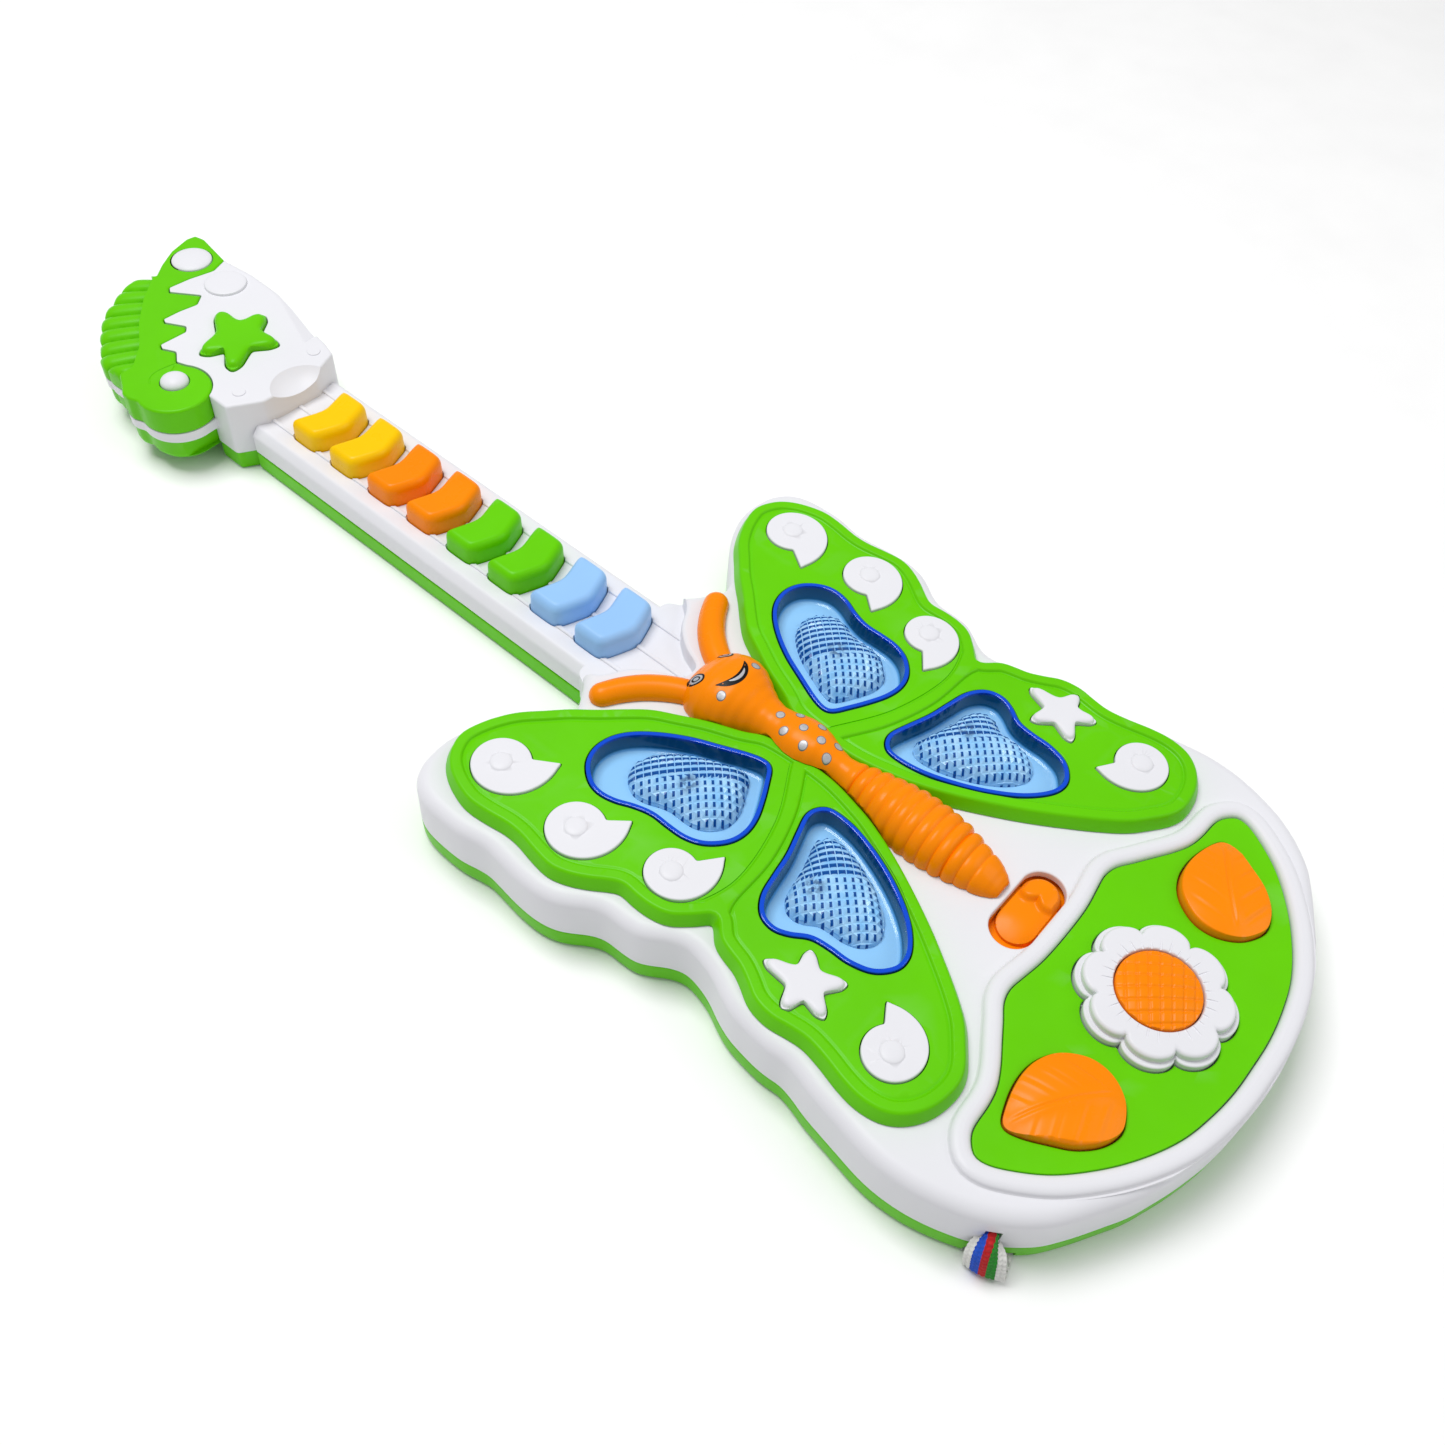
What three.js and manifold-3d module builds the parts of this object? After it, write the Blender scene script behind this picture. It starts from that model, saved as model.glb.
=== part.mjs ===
// Toy electric guitar with a butterfly deck: a white front shell and a green back shell hold a row of
// eight sprung keys, three tail buttons, a headstock button, a power slide, lights, speaker and batteries.
// Millimetres. +Y runs along the neck to the headstock, +Z out of the front, Z = 0 is the flat back.

import * as THREE from "three";
import { mergeVertices } from "three/addons/utils/BufferGeometryUtils.js";
import Module from "manifold-3d";

const wasm = await Module();
wasm.setup();

// ---- Driving dimensions ----------------------------------------------------------------------------

const GAP = 0.3; // between touching pieces
const SLIDE_GAP = 0.4; // round a piece that slides
const WALL = 2.2; // shell wall
const PARTING = 6.75; // seam of the two shells under the body and neck
const DECK = 22; // top of the body
const SHOULDER = 3.5; // rounding of the deck's edge
const BEAD_WIDTH = 5; // raised bead round the leaf panel
const BEAD_RISE = 1.9;
const NECK_TOP = 16.65;
const NECK_HALF = 18.1;
const NECK_LAND_HALF = 15.8; // flat top of the neck between its two bevels
const NECK_BEVEL_Z = 13.8;
const NECK_START = -45;
const NECK_END = 133;
const RIB_XS = [-10.4, 0, 10.4]; // raised string ribs on the neck
const RIB_HALF = 0.65;
const WING_TOP = 26.4;
const HEAD_TOP = 25.65;
const HEAD_SEAM = 12.9; // seam of the two shells under the headstock
const HEAD_LEDGE = 16.6; // white ledge that carries the green headstock cap
const NUT_END = 147; // where the nut block meets the headstock's higher seam
const BACK_FLOOR = 2;
const HEAD_BACK = 5; // the headstock's back is raised off the ground

const KEY_COUNT = 8;
const KEY_PITCH = 18;
const FIRST_KEY_Y = -10.6;
const KEY_TOP = 23.9;
const KEY_FLANGE_LOW = 11.2;
const KEY_FLANGE_HIGH = 13.6;

const BUTTON_LOW = 18.2; // underside of the tail buttons at rest
const BUTTON_FLANGE_HIGH = 19.4;
const BOARD_LOW = 12;
const BOARD_THICKNESS = 1.6;

const LENS_FLOOR = 20.4;
const LENS_UNDERSIDE = 19.2;
const LENS_DOME_TOP = 26.9;
const LENS_WALL = 1.2;
const DOME_SCALE = 0.62; // of the lens's own outline

const CELL_RADIUS = 7.2; // AA cell
const CELL_LENGTH = 50;
const CELL_PITCH = 15;
const CELL_Y = -94;
const CELL_Z = 9.6;
const BAY = { halfX: 23.4, low: -122, high: -66 }; // battery bay

const COLOURS = {
  white: 0xeeeef2,
  green: 0x6ccf0a,
  orange: 0xff9208,
  yellow: 0xffd000,
  sky: 0x9cc8f4,
  lens: 0x6fb1f0,
  led: 0xe8eef4,
  board: 0x2f7d3b,
  rubber: 0x8c8f94,
  steel: 0xb9bdc2,
  dark: 0x2b2c2f,
  cell: 0x35383d,
  webbing: 0xe6e6ea,
};

// ---- Outlines --------------------------------------------------------------------------------------

const vectors = (list) => list.map(([x, y]) => new THREE.Vector2(x, y));
const mirrored = (outline) => outline.map((p) => new THREE.Vector2(-p.x, p.y)).reverse();
const moved = (outline, x, y) => outline.map((p) => new THREE.Vector2(p.x + x, p.y + y));

// A half outline on +X that starts and ends on the centre line, completed by its mirror image.
function symmetric(half) {
  const right = vectors(half);
  const left = mirrored(right).filter((p) => Math.abs(p.x) > 1e-6);
  return [...right, ...left];
}

// The outline moved outwards by a distance, or inwards where it is negative.
function grow(outline, distance) {
  const side = THREE.ShapeUtils.isClockWise(outline) ? -1 : 1;
  return outline.map((point, i) => {
    const before = outline[(i + outline.length - 1) % outline.length];
    const after = outline[(i + 1) % outline.length];
    const inward = point.clone().sub(before).normalize();
    const outward = after.clone().sub(point).normalize();
    const normal = new THREE.Vector2(inward.y + outward.y, -inward.x - outward.x).normalize();
    const spread = Math.max(0.5, normal.dot(new THREE.Vector2(inward.y, -inward.x)));
    return point.clone().addScaledVector(normal, (side * distance) / spread);
  });
}

function circle(x, y, radius, count = 24) {
  return Array.from({ length: count }, (_, i) => {
    const angle = (2 * Math.PI * i) / count;
    return new THREE.Vector2(x + radius * Math.cos(angle), y + radius * Math.sin(angle));
  });
}

function rectangle(x0, x1, y0, y1) {
  return vectors([[x0, y0], [x1, y0], [x1, y1], [x0, y1]]);
}

// A slot along X with round ends.
function stadium(x, y, halfLength, radius, steps = 6) {
  const shape = new THREE.Shape();
  shape.absarc(x + halfLength - radius, y, radius, -Math.PI / 2, Math.PI / 2, false);
  shape.absarc(x - halfLength + radius, y, radius, Math.PI / 2, (3 * Math.PI) / 2, false);
  return shape.getPoints(steps);
}

// A radius given as a function of the turn from 0 to 1, swept round a centre between two angles.
function polar(x, y, start, sweep, count, radiusAt) {
  return Array.from({ length: count }, (_, i) => {
    const turn = i / count;
    const angle = THREE.MathUtils.degToRad(start + sweep * turn);
    const radius = radiusAt(turn);
    return new THREE.Vector2(x + radius * Math.cos(angle), y + radius * Math.sin(angle));
  });
}

const BODY = symmetric([
  [0, -222.7], [10, -222.2], [20, -220.8], [30, -218.2], [38, -215.4], [43.5, -213.2], [48.5, -210.4],
  [53.6, -207.5], [58.4, -204.5], [62.9, -201.2], [68, -195.5], [71.8, -189.6], [73.5, -185.8],
  [75.3, -180.8], [76.7, -175.4], [77.4, -170.5], [77.6, -165.4], [77.2, -160.6], [76.2, -154.6],
  [74.4, -144.2], [73, -139], [72.2, -134.5], [72.6, -131], [72.6, -127], [72, -121.5],
  [71.2, -117.2], [69.6, -112.8], [67.1, -107.5], [65.7, -102.6], [65.3, -98.3], [66.7, -94.4],
  [69.2, -90.7], [71.2, -87], [71.8, -82.2], [72, -77], [73.7, -73], [76.4, -69.2], [78.5, -65.4],
  [79.7, -60.2], [79.8, -54], [79.2, -47.5], [78.7, -42], [79.3, -38], [80.4, -33], [80.6, -26.5],
  [80.1, -20], [78.4, -15.3], [75.5, -12], [71.6, -9.9], [67, -9], [62, -8.8], [57, -9.8], [52, -12],
  [47, -15], [42, -19], [37, -23.5], [32, -26.5], [26, -23.5], [21, -19.5], [18.1, -15], [8, -15],
]);

// The valley between the antennae, where the neck's top runs down to the butterfly's head.
const VALLEY = symmetric([[0, -41], [3, -40], [6, -33.5], [11, -27.5], [19, -22], [19, -10], [0, -10]]);

const WING = vectors([
  [5, -75], [8.7, -67], [12.5, -58], [16.3, -51], [20, -44.5], [25, -39], [30, -34], [35, -28.5],
  [40, -24], [45, -19.5], [50, -16.5], [55, -14.5], [60, -13.5], [64, -14.5], [68, -17], [71, -21],
  [73, -26], [74, -31], [73.5, -37], [72.5, -43], [72.5, -48], [73.5, -54], [74, -60], [72.5, -65],
  [70, -69.5], [67.5, -73], [65.5, -76.5], [65.7, -81], [65.5, -86], [64, -91], [60, -95.5],
  [56.4, -99.3], [60.5, -104], [62, -108], [63, -112], [65, -116], [67.5, -120.5], [68.3, -126],
  [67.5, -131], [67, -136], [68, -142], [69.5, -148], [70.2, -154], [69, -160], [65.5, -164.5],
  [60, -167.5], [53, -168.5], [48, -167.3], [43, -164], [38, -160], [33, -154], [28, -147],
  [23, -139.5], [18, -131], [13, -121.5], [9.5, -113.5], [7, -106], [4.5, -93],
]);

const UPPER_LENS = vectors([
  [12, -78.5], [13, -74], [16.5, -66], [20, -58.5], [24.5, -51.5], [29.5, -46], [34.5, -43],
  [40, -42.3], [45, -44.2], [48.7, -48.5], [50, -53], [49.2, -58], [47, -63], [45.6, -68],
  [45.6, -73.5], [45.2, -79], [43, -84], [38.5, -88], [33.5, -89.4], [28, -88.6], [22, -86],
  [17, -83.3], [13.2, -81],
]);

const LOWER_LENS = vectors([
  [12.2, -101.5], [14, -98], [18, -96.6], [24, -98.3], [31, -100.6], [38, -102], [44.5, -103.6],
  [49, -107], [50.3, -111.7], [48.8, -116], [46, -120.3], [45.2, -125.5], [45, -131], [43, -137],
  [38.5, -140.8], [34, -141.1], [29.5, -138.8], [24.5, -134], [19.5, -126.5], [15.5, -118],
  [12.8, -109.5],
]);

const LENSES = [
  { name: "upper", outline: UPPER_LENS, light: [31.5, -68], dome: [29.5, -69.5] },
  { name: "lower", outline: LOWER_LENS, light: [33.5, -111.6], dome: [30.2, -113.5] },
];

// Snail shells: centre, inner radius, tip radius and tip direction on the right wing.
const SNAILS = [
  { x: 60.2, y: -28.5, inner: 8, tip: 15.2, angle: 228 },
  { x: 61.5, y: -56.8, inner: 7.9, tip: 14.1, angle: 219 },
  { x: 54.8, y: -83.2, inner: 7, tip: 13.9, angle: 209 },
  { x: 56.5, y: -152.5, inner: 7.2, tip: 12.7, angle: 138 },
];

function snailOutline({ x, y, inner, tip, angle }) {
  const growth = tip / inner - 1;
  const radiusAt = (turn) => inner * (1 + growth * Math.max(0, 2 * turn - 1) ** 2);
  const tipDirection = THREE.MathUtils.degToRad(angle);
  return [
    ...polar(x, y, angle + 366, -366, 20, radiusAt),
    new THREE.Vector2(x + tip * Math.cos(tipDirection), y + tip * Math.sin(tipDirection)),
  ];
}

// Five-armed stars, from the angle and length of each arm.
function starOutline(x, y, arms, waist) {
  return arms.flatMap(([angle, length], i) => {
    const next = arms[(i + 1) % arms.length][0] + (i + 1 === arms.length ? 360 : 0);
    const tip = THREE.MathUtils.degToRad(angle);
    const spread = THREE.MathUtils.degToRad(90);
    const notch = THREE.MathUtils.degToRad((angle + next) / 2);
    const along = new THREE.Vector2(Math.cos(tip), Math.sin(tip));
    const across = along.clone().rotateAround(new THREE.Vector2(), spread);
    const end = new THREE.Vector2(x, y).addScaledVector(along, length);
    const shoulder = new THREE.Vector2(x, y).addScaledVector(along, length * 0.86);
    return [
      shoulder.clone().addScaledVector(across, -waist * 0.3),
      end,
      shoulder.clone().addScaledVector(across, waist * 0.3),
      new THREE.Vector2(x + waist * Math.cos(notch), y + waist * Math.sin(notch)),
    ];
  });
}

const WING_STAR = starOutline(
  56.3,
  -127,
  [[-65, 9.5], [0, 8.5], [81, 11.1], [149, 9], [228, 9.7]],
  4.6,
);

const HEAD_STAR = starOutline(
  1.5,
  162.2,
  [[-57, 13.2], [19, 14.4], [76, 16.4], [170, 13.4], [226, 16]],
  7.4,
);

const LEAF_PANEL = symmetric([
  [0, -165.3], [10, -165], [18, -163.8], [22, -163.3], [26, -164.2], [30, -166.7], [35, -169.7],
  [40, -172.7], [45, -175], [50, -176], [57, -176.5], [60.5, -178.5], [62, -181], [60.3, -186],
  [54, -195], [45, -203], [36, -208.8], [27, -212.9], [18, -215.1], [9, -216.3], [0, -216.5],
]);

const LEAF_BUTTON = vectors([
  [52, -181], [48, -179], [42, -177.5], [36, -177.5], [31, -179.3], [27.5, -182.5], [25, -187.5],
  [25.2, -193], [28, -198], [32, -200.8], [36, -201.8], [41, -200], [45.5, -196], [48.5, -191],
  [51.5, -185],
]);

const FLOWER = { x: 0, y: -190.2, petals: 8, radius: 19.8, notch: 17.4 };

function flowerOutline(scale) {
  const depth = FLOWER.radius - FLOWER.notch;
  return polar(FLOWER.x, FLOWER.y, 0, 360, FLOWER.petals * 4, (turn) => {
    const lobe = Math.sqrt(Math.abs(Math.sin(turn * FLOWER.petals * Math.PI)));
    return (FLOWER.notch + depth * lobe) * scale;
  });
}

// A chevron key, its point towards the tail, about the middle of its two ends.
const KEY = symmetric([[0, -10.1], [11.1, -6.1], [11.1, 5.8], [0, 2.1]]);

// Headstock outlines. The scroll is a round disc at the left, the crest a point at the far right, and the
// mane a lower fluted strip between them.
const SCROLL = { x: -28.3, y: 156.5, radius: 12 };
const CREST = vectors([
  [28.8, 218.3], [27.9, 222.2], [24.3, 222.7], [16.2, 220.1], [9, 215.6], [3.8, 211.4],
]);
const MANE_EDGE = vectors([
  [0.5, 215], [-3.5, 217.6], [-7.5, 217.3], [-12.7, 213.8], [-17.6, 211], [-21, 208.3],
  [-24.8, 203.7], [-28, 199.3], [-31.3, 194], [-34, 190.5], [-35.8, 185.8], [-35.6, 180],
  [-35.5, 175.5],
]);
const LOBE = vectors([[-38.9, 169.1], [-40.9, 166], [-41.2, 162.8]]);
const HEAD_LEFT = [...CREST, ...MANE_EDGE, ...LOBE];

const HEAD_SILHOUETTE = [
  ...vectors([
    [-21.5, 145], [21, 145], [22.5, 152], [25.5, 165], [27.5, 176], [27.9, 190], [26.5, 203],
  ]),
  ...HEAD_LEFT,
  ...polar(SCROLL.x, SCROLL.y, 165, 125, 7, () => SCROLL.radius),
];

const CAP = [
  new THREE.Vector2(26.1, 203),
  ...HEAD_LEFT,
  ...polar(SCROLL.x, SCROLL.y, 165, 240, 12, () => SCROLL.radius),
  ...vectors([
    [-19.8, 167], [-16.7, 171.5], [-19, 176], [-18, 178.2], [-8.1, 178.2], [-6.3, 180.5],
    [-10, 187], [-9.2, 189], [-2.7, 189], [3.6, 188.1], [7.7, 191.3], [1.2, 200.2], [2.7, 202.5],
    [10.8, 202], [19.4, 200.3],
  ]),
];

const MANE = vectors([
  [6, 226], [2.2, 210.8], [-6.9, 203], [-16, 192.6], [-23.6, 181.5], [-31, 174.4], [-46, 173.4],
  [-46, 226],
]);

const HEAD_PLATE = vectors([
  [-22.5, 147], [-22.5, 137.3], [-12.2, 131.4], [8, 131], [18.9, 135.5], [20.7, 141.8], [22.5, 152],
  [25.5, 165], [27.5, 176], [27.9, 190], [26.5, 203], [10, 203], [-8, 190], [-20, 174], [-16.4, 166],
  [-14.8, 158], [-15.6, 152],
]);

const NUT = vectors([
  [-22.5, NUT_END], [-22.5, 137.3], [-12.2, 131.4], [8, 131], [18.9, 135.5], [20.7, 141.8],
  [21.6, NUT_END],
]);

const POWER_SLOT = { x: 0, y: -154, halfLength: 13, radius: 6 };

const DOT_LARGE = { x: 18, y: 210.6, radius: 6.9 };
const DOT_SMALL = { x: -26.1, y: 158.9, radius: 4.5 };
const PLATE_DISC = { x: 17.6, y: 190.8, radius: 7.2 };

// The strap's frame: its origin on the side wall, +X outwards. The webbing is bunched in its slot.
const STRAP = { x: -69.9, y: -192.6, angle: 212.8, width: 10, bunched: 2.6, thickness: 1.2 };

// ---- Solids ----------------------------------------------------------------------------------------

// A closed three.js geometry as a solid that can be cut and joined.
function solid(geometry) {
  const flat = geometry.index ? geometry.toNonIndexed() : geometry;
  const bare = new THREE.BufferGeometry().setAttribute("position", flat.getAttribute("position"));
  const merged = mergeVertices(bare, 1e-4);
  const corners = merged.index.array;
  const triVerts = [];
  for (let i = 0; i < corners.length; i += 3) {
    const [a, b, c] = [corners[i], corners[i + 1], corners[i + 2]];
    if (a !== b && b !== c && c !== a) triVerts.push(a, b, c);
  }
  return new wasm.Manifold(
    new wasm.Mesh({
      numProp: 3,
      vertProperties: merged.attributes.position.array,
      triVerts: new Uint32Array(triVerts),
    }),
  );
}

function box(x0, x1, y0, y1, z0, z1) {
  const geometry = new THREE.BoxGeometry(x1 - x0, y1 - y0, z1 - z0);
  return solid(geometry.translate((x0 + x1) / 2, (y0 + y1) / 2, (z0 + z1) / 2));
}

const FAR = 400;
const below = (z) => box(-FAR, FAR, -FAR, FAR, -FAR, z);

// A flat piece of the given outline between two heights, with its top edge rounded.
function slab(outline, z0, z1, round = 0, steps = 1) {
  const shape = new THREE.Shape(outline);
  if (!round) {
    const plain = new THREE.ExtrudeGeometry(shape, { depth: z1 - z0, bevelEnabled: false });
    return solid(plain.translate(0, 0, z0));
  }
  const rounded = new THREE.ExtrudeGeometry(shape, {
    depth: z1 - z0 - round,
    bevelEnabled: true,
    bevelThickness: round,
    bevelSize: round,
    bevelOffset: -round,
    bevelSegments: steps,
  });
  return solid(rounded.translate(0, 0, z0)).subtract(below(z0));
}

// A flat piece with its bottom edge rounded.
function belly(outline, z0, z1, round, steps = 2) {
  return slab(outline, -z1, -z0, round, steps).mirror([0, 0, 1]);
}

// A profile in the XZ plane, run along Y.
function profileAlongY(points, y0, y1) {
  const shape = new THREE.Shape(vectors(points));
  const geometry = new THREE.ExtrudeGeometry(shape, { depth: y1 - y0, bevelEnabled: false });
  return solid(geometry.rotateX(Math.PI / 2).translate(0, y1, 0));
}

function ellipsoid(x, y, z, rx, ry, rz) {
  const geometry = new THREE.SphereGeometry(1, 14, 8).rotateX(Math.PI / 2);
  return solid(geometry.scale(rx, ry, rz).translate(x, y, z));
}

// A turned piece on a vertical axis, from [radius, height] pairs.
function turned(x, y, profile, count = 16) {
  const geometry = new THREE.LatheGeometry(vectors(profile), count);
  return solid(geometry.rotateX(Math.PI / 2).translate(x, y, 0));
}

// A bar of round section along Y.
function barAlongY(x, z, radius, y0, y1, count = 20) {
  const geometry = new THREE.CylinderGeometry(radius, radius, y1 - y0, count);
  return solid(geometry.translate(x, (y0 + y1) / 2, z));
}

const joined = (first, ...others) => others.reduce((whole, piece) => whole.add(piece), first);
const cut = (whole, ...tools) => tools.reduce((left, tool) => left.subtract(tool), whole);

// ---- Group and meshes ------------------------------------------------------------------------------

const guitar = new THREE.Group();
guitar.name = "toy_electric_guitar";

const METAL = { metalness: 1 };

function place(name, piece, colour, { roughness = 0.35, metalness = 0, opacity = 1 } = {}) {
  const faces = piece.getMesh();
  const geometry = new THREE.BufferGeometry();
  geometry.setAttribute("position", new THREE.BufferAttribute(faces.vertProperties, 3));
  geometry.setIndex(new THREE.BufferAttribute(faces.triVerts, 1));
  geometry.computeVertexNormals();
  const material = new THREE.MeshStandardMaterial({
    color: colour,
    roughness,
    metalness,
    opacity,
    transparent: opacity < 1,
  });
  const mesh = new THREE.Mesh(geometry, material);
  mesh.name = name;
  guitar.add(mesh);
}

const sides = [
  { name: "left", turn: mirrored, sign: -1 },
  { name: "right", turn: (outline) => outline, sign: 1 },
];

// ---- Front shell -----------------------------------------------------------------------------------

const keyCentre = (index) => FIRST_KEY_Y + KEY_PITCH * index;

function neckProfile(inset) {
  const half = NECK_HALF - inset;
  const land = NECK_LAND_HALF - inset;
  const top = NECK_TOP - inset;
  return [[-half, 0], [half, 0], [half, NECK_BEVEL_Z - inset], [land, top], [-land, top],
    [-half, NECK_BEVEL_Z - inset]];
}

function frontShellOutside() {
  const panelBead = slab(grow(LEAF_PANEL, BEAD_WIDTH), DECK - 1, DECK + BEAD_RISE, 1.2, 2);
  const deck = joined(slab(BODY, PARTING, DECK, SHOULDER, 3), panelBead);
  const body = cut(deck, slab(VALLEY, NECK_TOP, DECK + 2));
  const neck = profileAlongY(neckProfile(0), NECK_START, NECK_END);
  const ribs = RIB_XS.map((x) => box(x - RIB_HALF, x + RIB_HALF, NECK_START, NECK_END, 15, NECK_TOP + 0.6));
  const ledge = slab(HEAD_SILHOUETTE, HEAD_SEAM, HEAD_LEDGE);
  const plate = slab(HEAD_PLATE, HEAD_SEAM, HEAD_TOP, 0.8);
  const discOutline = circle(PLATE_DISC.x, PLATE_DISC.y, PLATE_DISC.radius);
  const disc = slab(discOutline, HEAD_TOP - 1, HEAD_TOP + 0.7, 0.5);
  const nut = slab(NUT, PARTING, HEAD_TOP, 0.8);
  const capRoom = slab(grow(CAP, GAP), HEAD_LEDGE, HEAD_TOP + 3);
  return joined(body, neck, ...ribs, cut(joined(nut, ledge, plate, disc), capRoom));
}

function frontShellInside() {
  const underDeck = slab(grow(BODY, -WALL), 0, DECK - WALL);
  const valleyRoof = slab(grow(VALLEY, WALL), NECK_TOP - WALL, DECK);
  const underNeck = profileAlongY(neckProfile(WALL), NECK_START - 8, NECK_END);
  const underNut = slab(grow(NUT, -WALL), 0, HEAD_TOP - WALL);
  const nutPassages = [
    box(-13, 13, NECK_END - 6, NECK_END + 6, 0, NECK_TOP - WALL),
    box(-13, 13, NUT_END - 4, NUT_END + 4, 0, HEAD_TOP - WALL),
  ];
  const underPlate = slab(grow(HEAD_PLATE, -WALL), HEAD_SEAM - 1, HEAD_TOP - WALL);
  const underCap = slab(grow(HEAD_SILHOUETTE, -WALL), HEAD_SEAM - 1, HEAD_LEDGE - WALL);
  return joined(cut(underDeck, valleyRoof), underNeck, underNut, ...nutPassages, underPlate, underCap);
}

function deckOpenings() {
  const openings = [slab(grow(LEAF_PANEL, GAP), DECK - 1.4, DECK + 3)];
  openings.push(slab(grow(flowerOutline(1), SLIDE_GAP), 0, DECK + 3));
  const { x, y, halfLength, radius } = POWER_SLOT;
  openings.push(slab(stadium(x, y, halfLength, radius), 0, DECK + 3));
  for (const { turn } of sides) {
    openings.push(slab(grow(turn(LEAF_BUTTON), SLIDE_GAP), 0, DECK + 3));
    for (const { outline } of LENSES) openings.push(slab(grow(turn(outline), GAP), 0, DECK + 3));
  }
  for (let index = 0; index < KEY_COUNT; index += 1) {
    openings.push(slab(moved(grow(KEY, SLIDE_GAP), 0, keyCentre(index)), 0, DECK));
  }
  openings.push(slab(grow(HEAD_STAR, SLIDE_GAP), 0, HEAD_TOP + 3));
  return openings;
}

// The webbing's opening in the side wall, in the strap's own turned frame.
function strapFrame(geometryOrSolid) {
  return geometryOrSolid.rotate([0, 0, STRAP.angle]).translate([STRAP.x, STRAP.y, 0]);
}
const strapHalf = STRAP.width / 2;
const bunchedHalf = STRAP.bunched / 2;
const sideSlot = strapFrame(box(-12, 12, -bunchedHalf - 0.6, bunchedHalf + 0.6, 10.2, 15));
const footSlot = strapFrame(box(-12, 12, -strapHalf - 0.8, strapHalf + 0.8, -1, 3.2));

const seamGap = below(PARTING + GAP / 2);
const frontShell = cut(frontShellOutside(), seamGap, frontShellInside(), ...deckOpenings());
const headSeamGap = box(-60, 60, NUT_END, 230, 0, HEAD_SEAM + GAP / 2);
place("front_shell", cut(frontShell, sideSlot, headSeamGap), COLOURS.white);

// ---- Back shell, battery door ----------------------------------------------------------------------

const DOOR = rectangle(-BAY.halfX - 3, BAY.halfX + 3, BAY.low - 4, BAY.high + 3);
const DOOR_SCREW = { x: 0, y: BAY.low - 1.7, radius: 2.6 };
const SPEAKER = { x: 0, y: -188, radius: 20, low: 2.4, high: 11.4 };
const GRILLE = { pitch: 5.2, halfLength: 15, taper: 2.6, slot: 2 };

function backShell() {
  const seam = PARTING - GAP / 2;
  const headSeam = HEAD_SEAM - GAP / 2;
  const nutRoom = box(-60, 60, 100, NUT_END + GAP, seam, 30);
  const outside = joined(
    slab(BODY, 0, seam),
    box(-NECK_HALF, NECK_HALF, NECK_START, NECK_END, 0, seam),
    slab(NUT, 0, seam),
    box(-20, 20, NUT_END, 156, HEAD_BACK, seam),
    cut(belly(grow(HEAD_SILHOUETTE, -0.6), HEAD_BACK, headSeam, 2.5), nutRoom),
  );
  const inside = joined(
    slab(grow(BODY, -WALL), BACK_FLOOR, 30),
    box(-NECK_HALF + WALL, NECK_HALF - WALL, NECK_START, NECK_END, BACK_FLOOR, 30),
    slab(grow(NUT, -WALL), BACK_FLOOR, 30),
    box(-13, 13, NECK_END - 6, NECK_END + 6, BACK_FLOOR, 30),
    box(-13, 13, NUT_END - 6, NUT_END + 6, HEAD_BACK + BACK_FLOOR, 30),
    slab(grow(HEAD_SILHOUETTE, -1 - WALL), HEAD_BACK + BACK_FLOOR, 30),
  );
  const bayOutside = slab(grow(DOOR, WALL), BACK_FLOOR - 0.5, 11);
  const bayInside = slab(grow(DOOR, GAP), -1, 12);
  const grille = [-2, -1, 0, 1, 2].map((row) => {
    const y = SPEAKER.y + row * GRILLE.pitch;
    const half = GRILLE.halfLength - Math.abs(row) * GRILLE.taper;
    return slab(stadium(SPEAKER.x, y, half, GRILLE.slot / 2, 2), -1, BACK_FLOOR + 0.3);
  });
  const tray = joined(cut(outside, inside), bayOutside);
  return cut(tray, bayInside, footSlot, ...grille);
}

place("back_shell", backShell(), COLOURS.green);

const screwHole = slab(circle(DOOR_SCREW.x, DOOR_SCREW.y, DOOR_SCREW.radius + GAP, 12), -1, 3);
place("battery_door", cut(slab(DOOR, 0.1, BACK_FLOOR), screwHole), COLOURS.green);
const doorScrew = slab(circle(DOOR_SCREW.x, DOOR_SCREW.y, DOOR_SCREW.radius, 12), 0.3, 1.9);
place("battery_door_screw", doorScrew, COLOURS.steel, METAL);

// ---- Wings, inserts and lights ---------------------------------------------------------------------

const INSERT_LOW = 23.6;
const INSERT_TOP = WING_TOP + 0.5;
const LED_LOW = 16.8;

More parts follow.
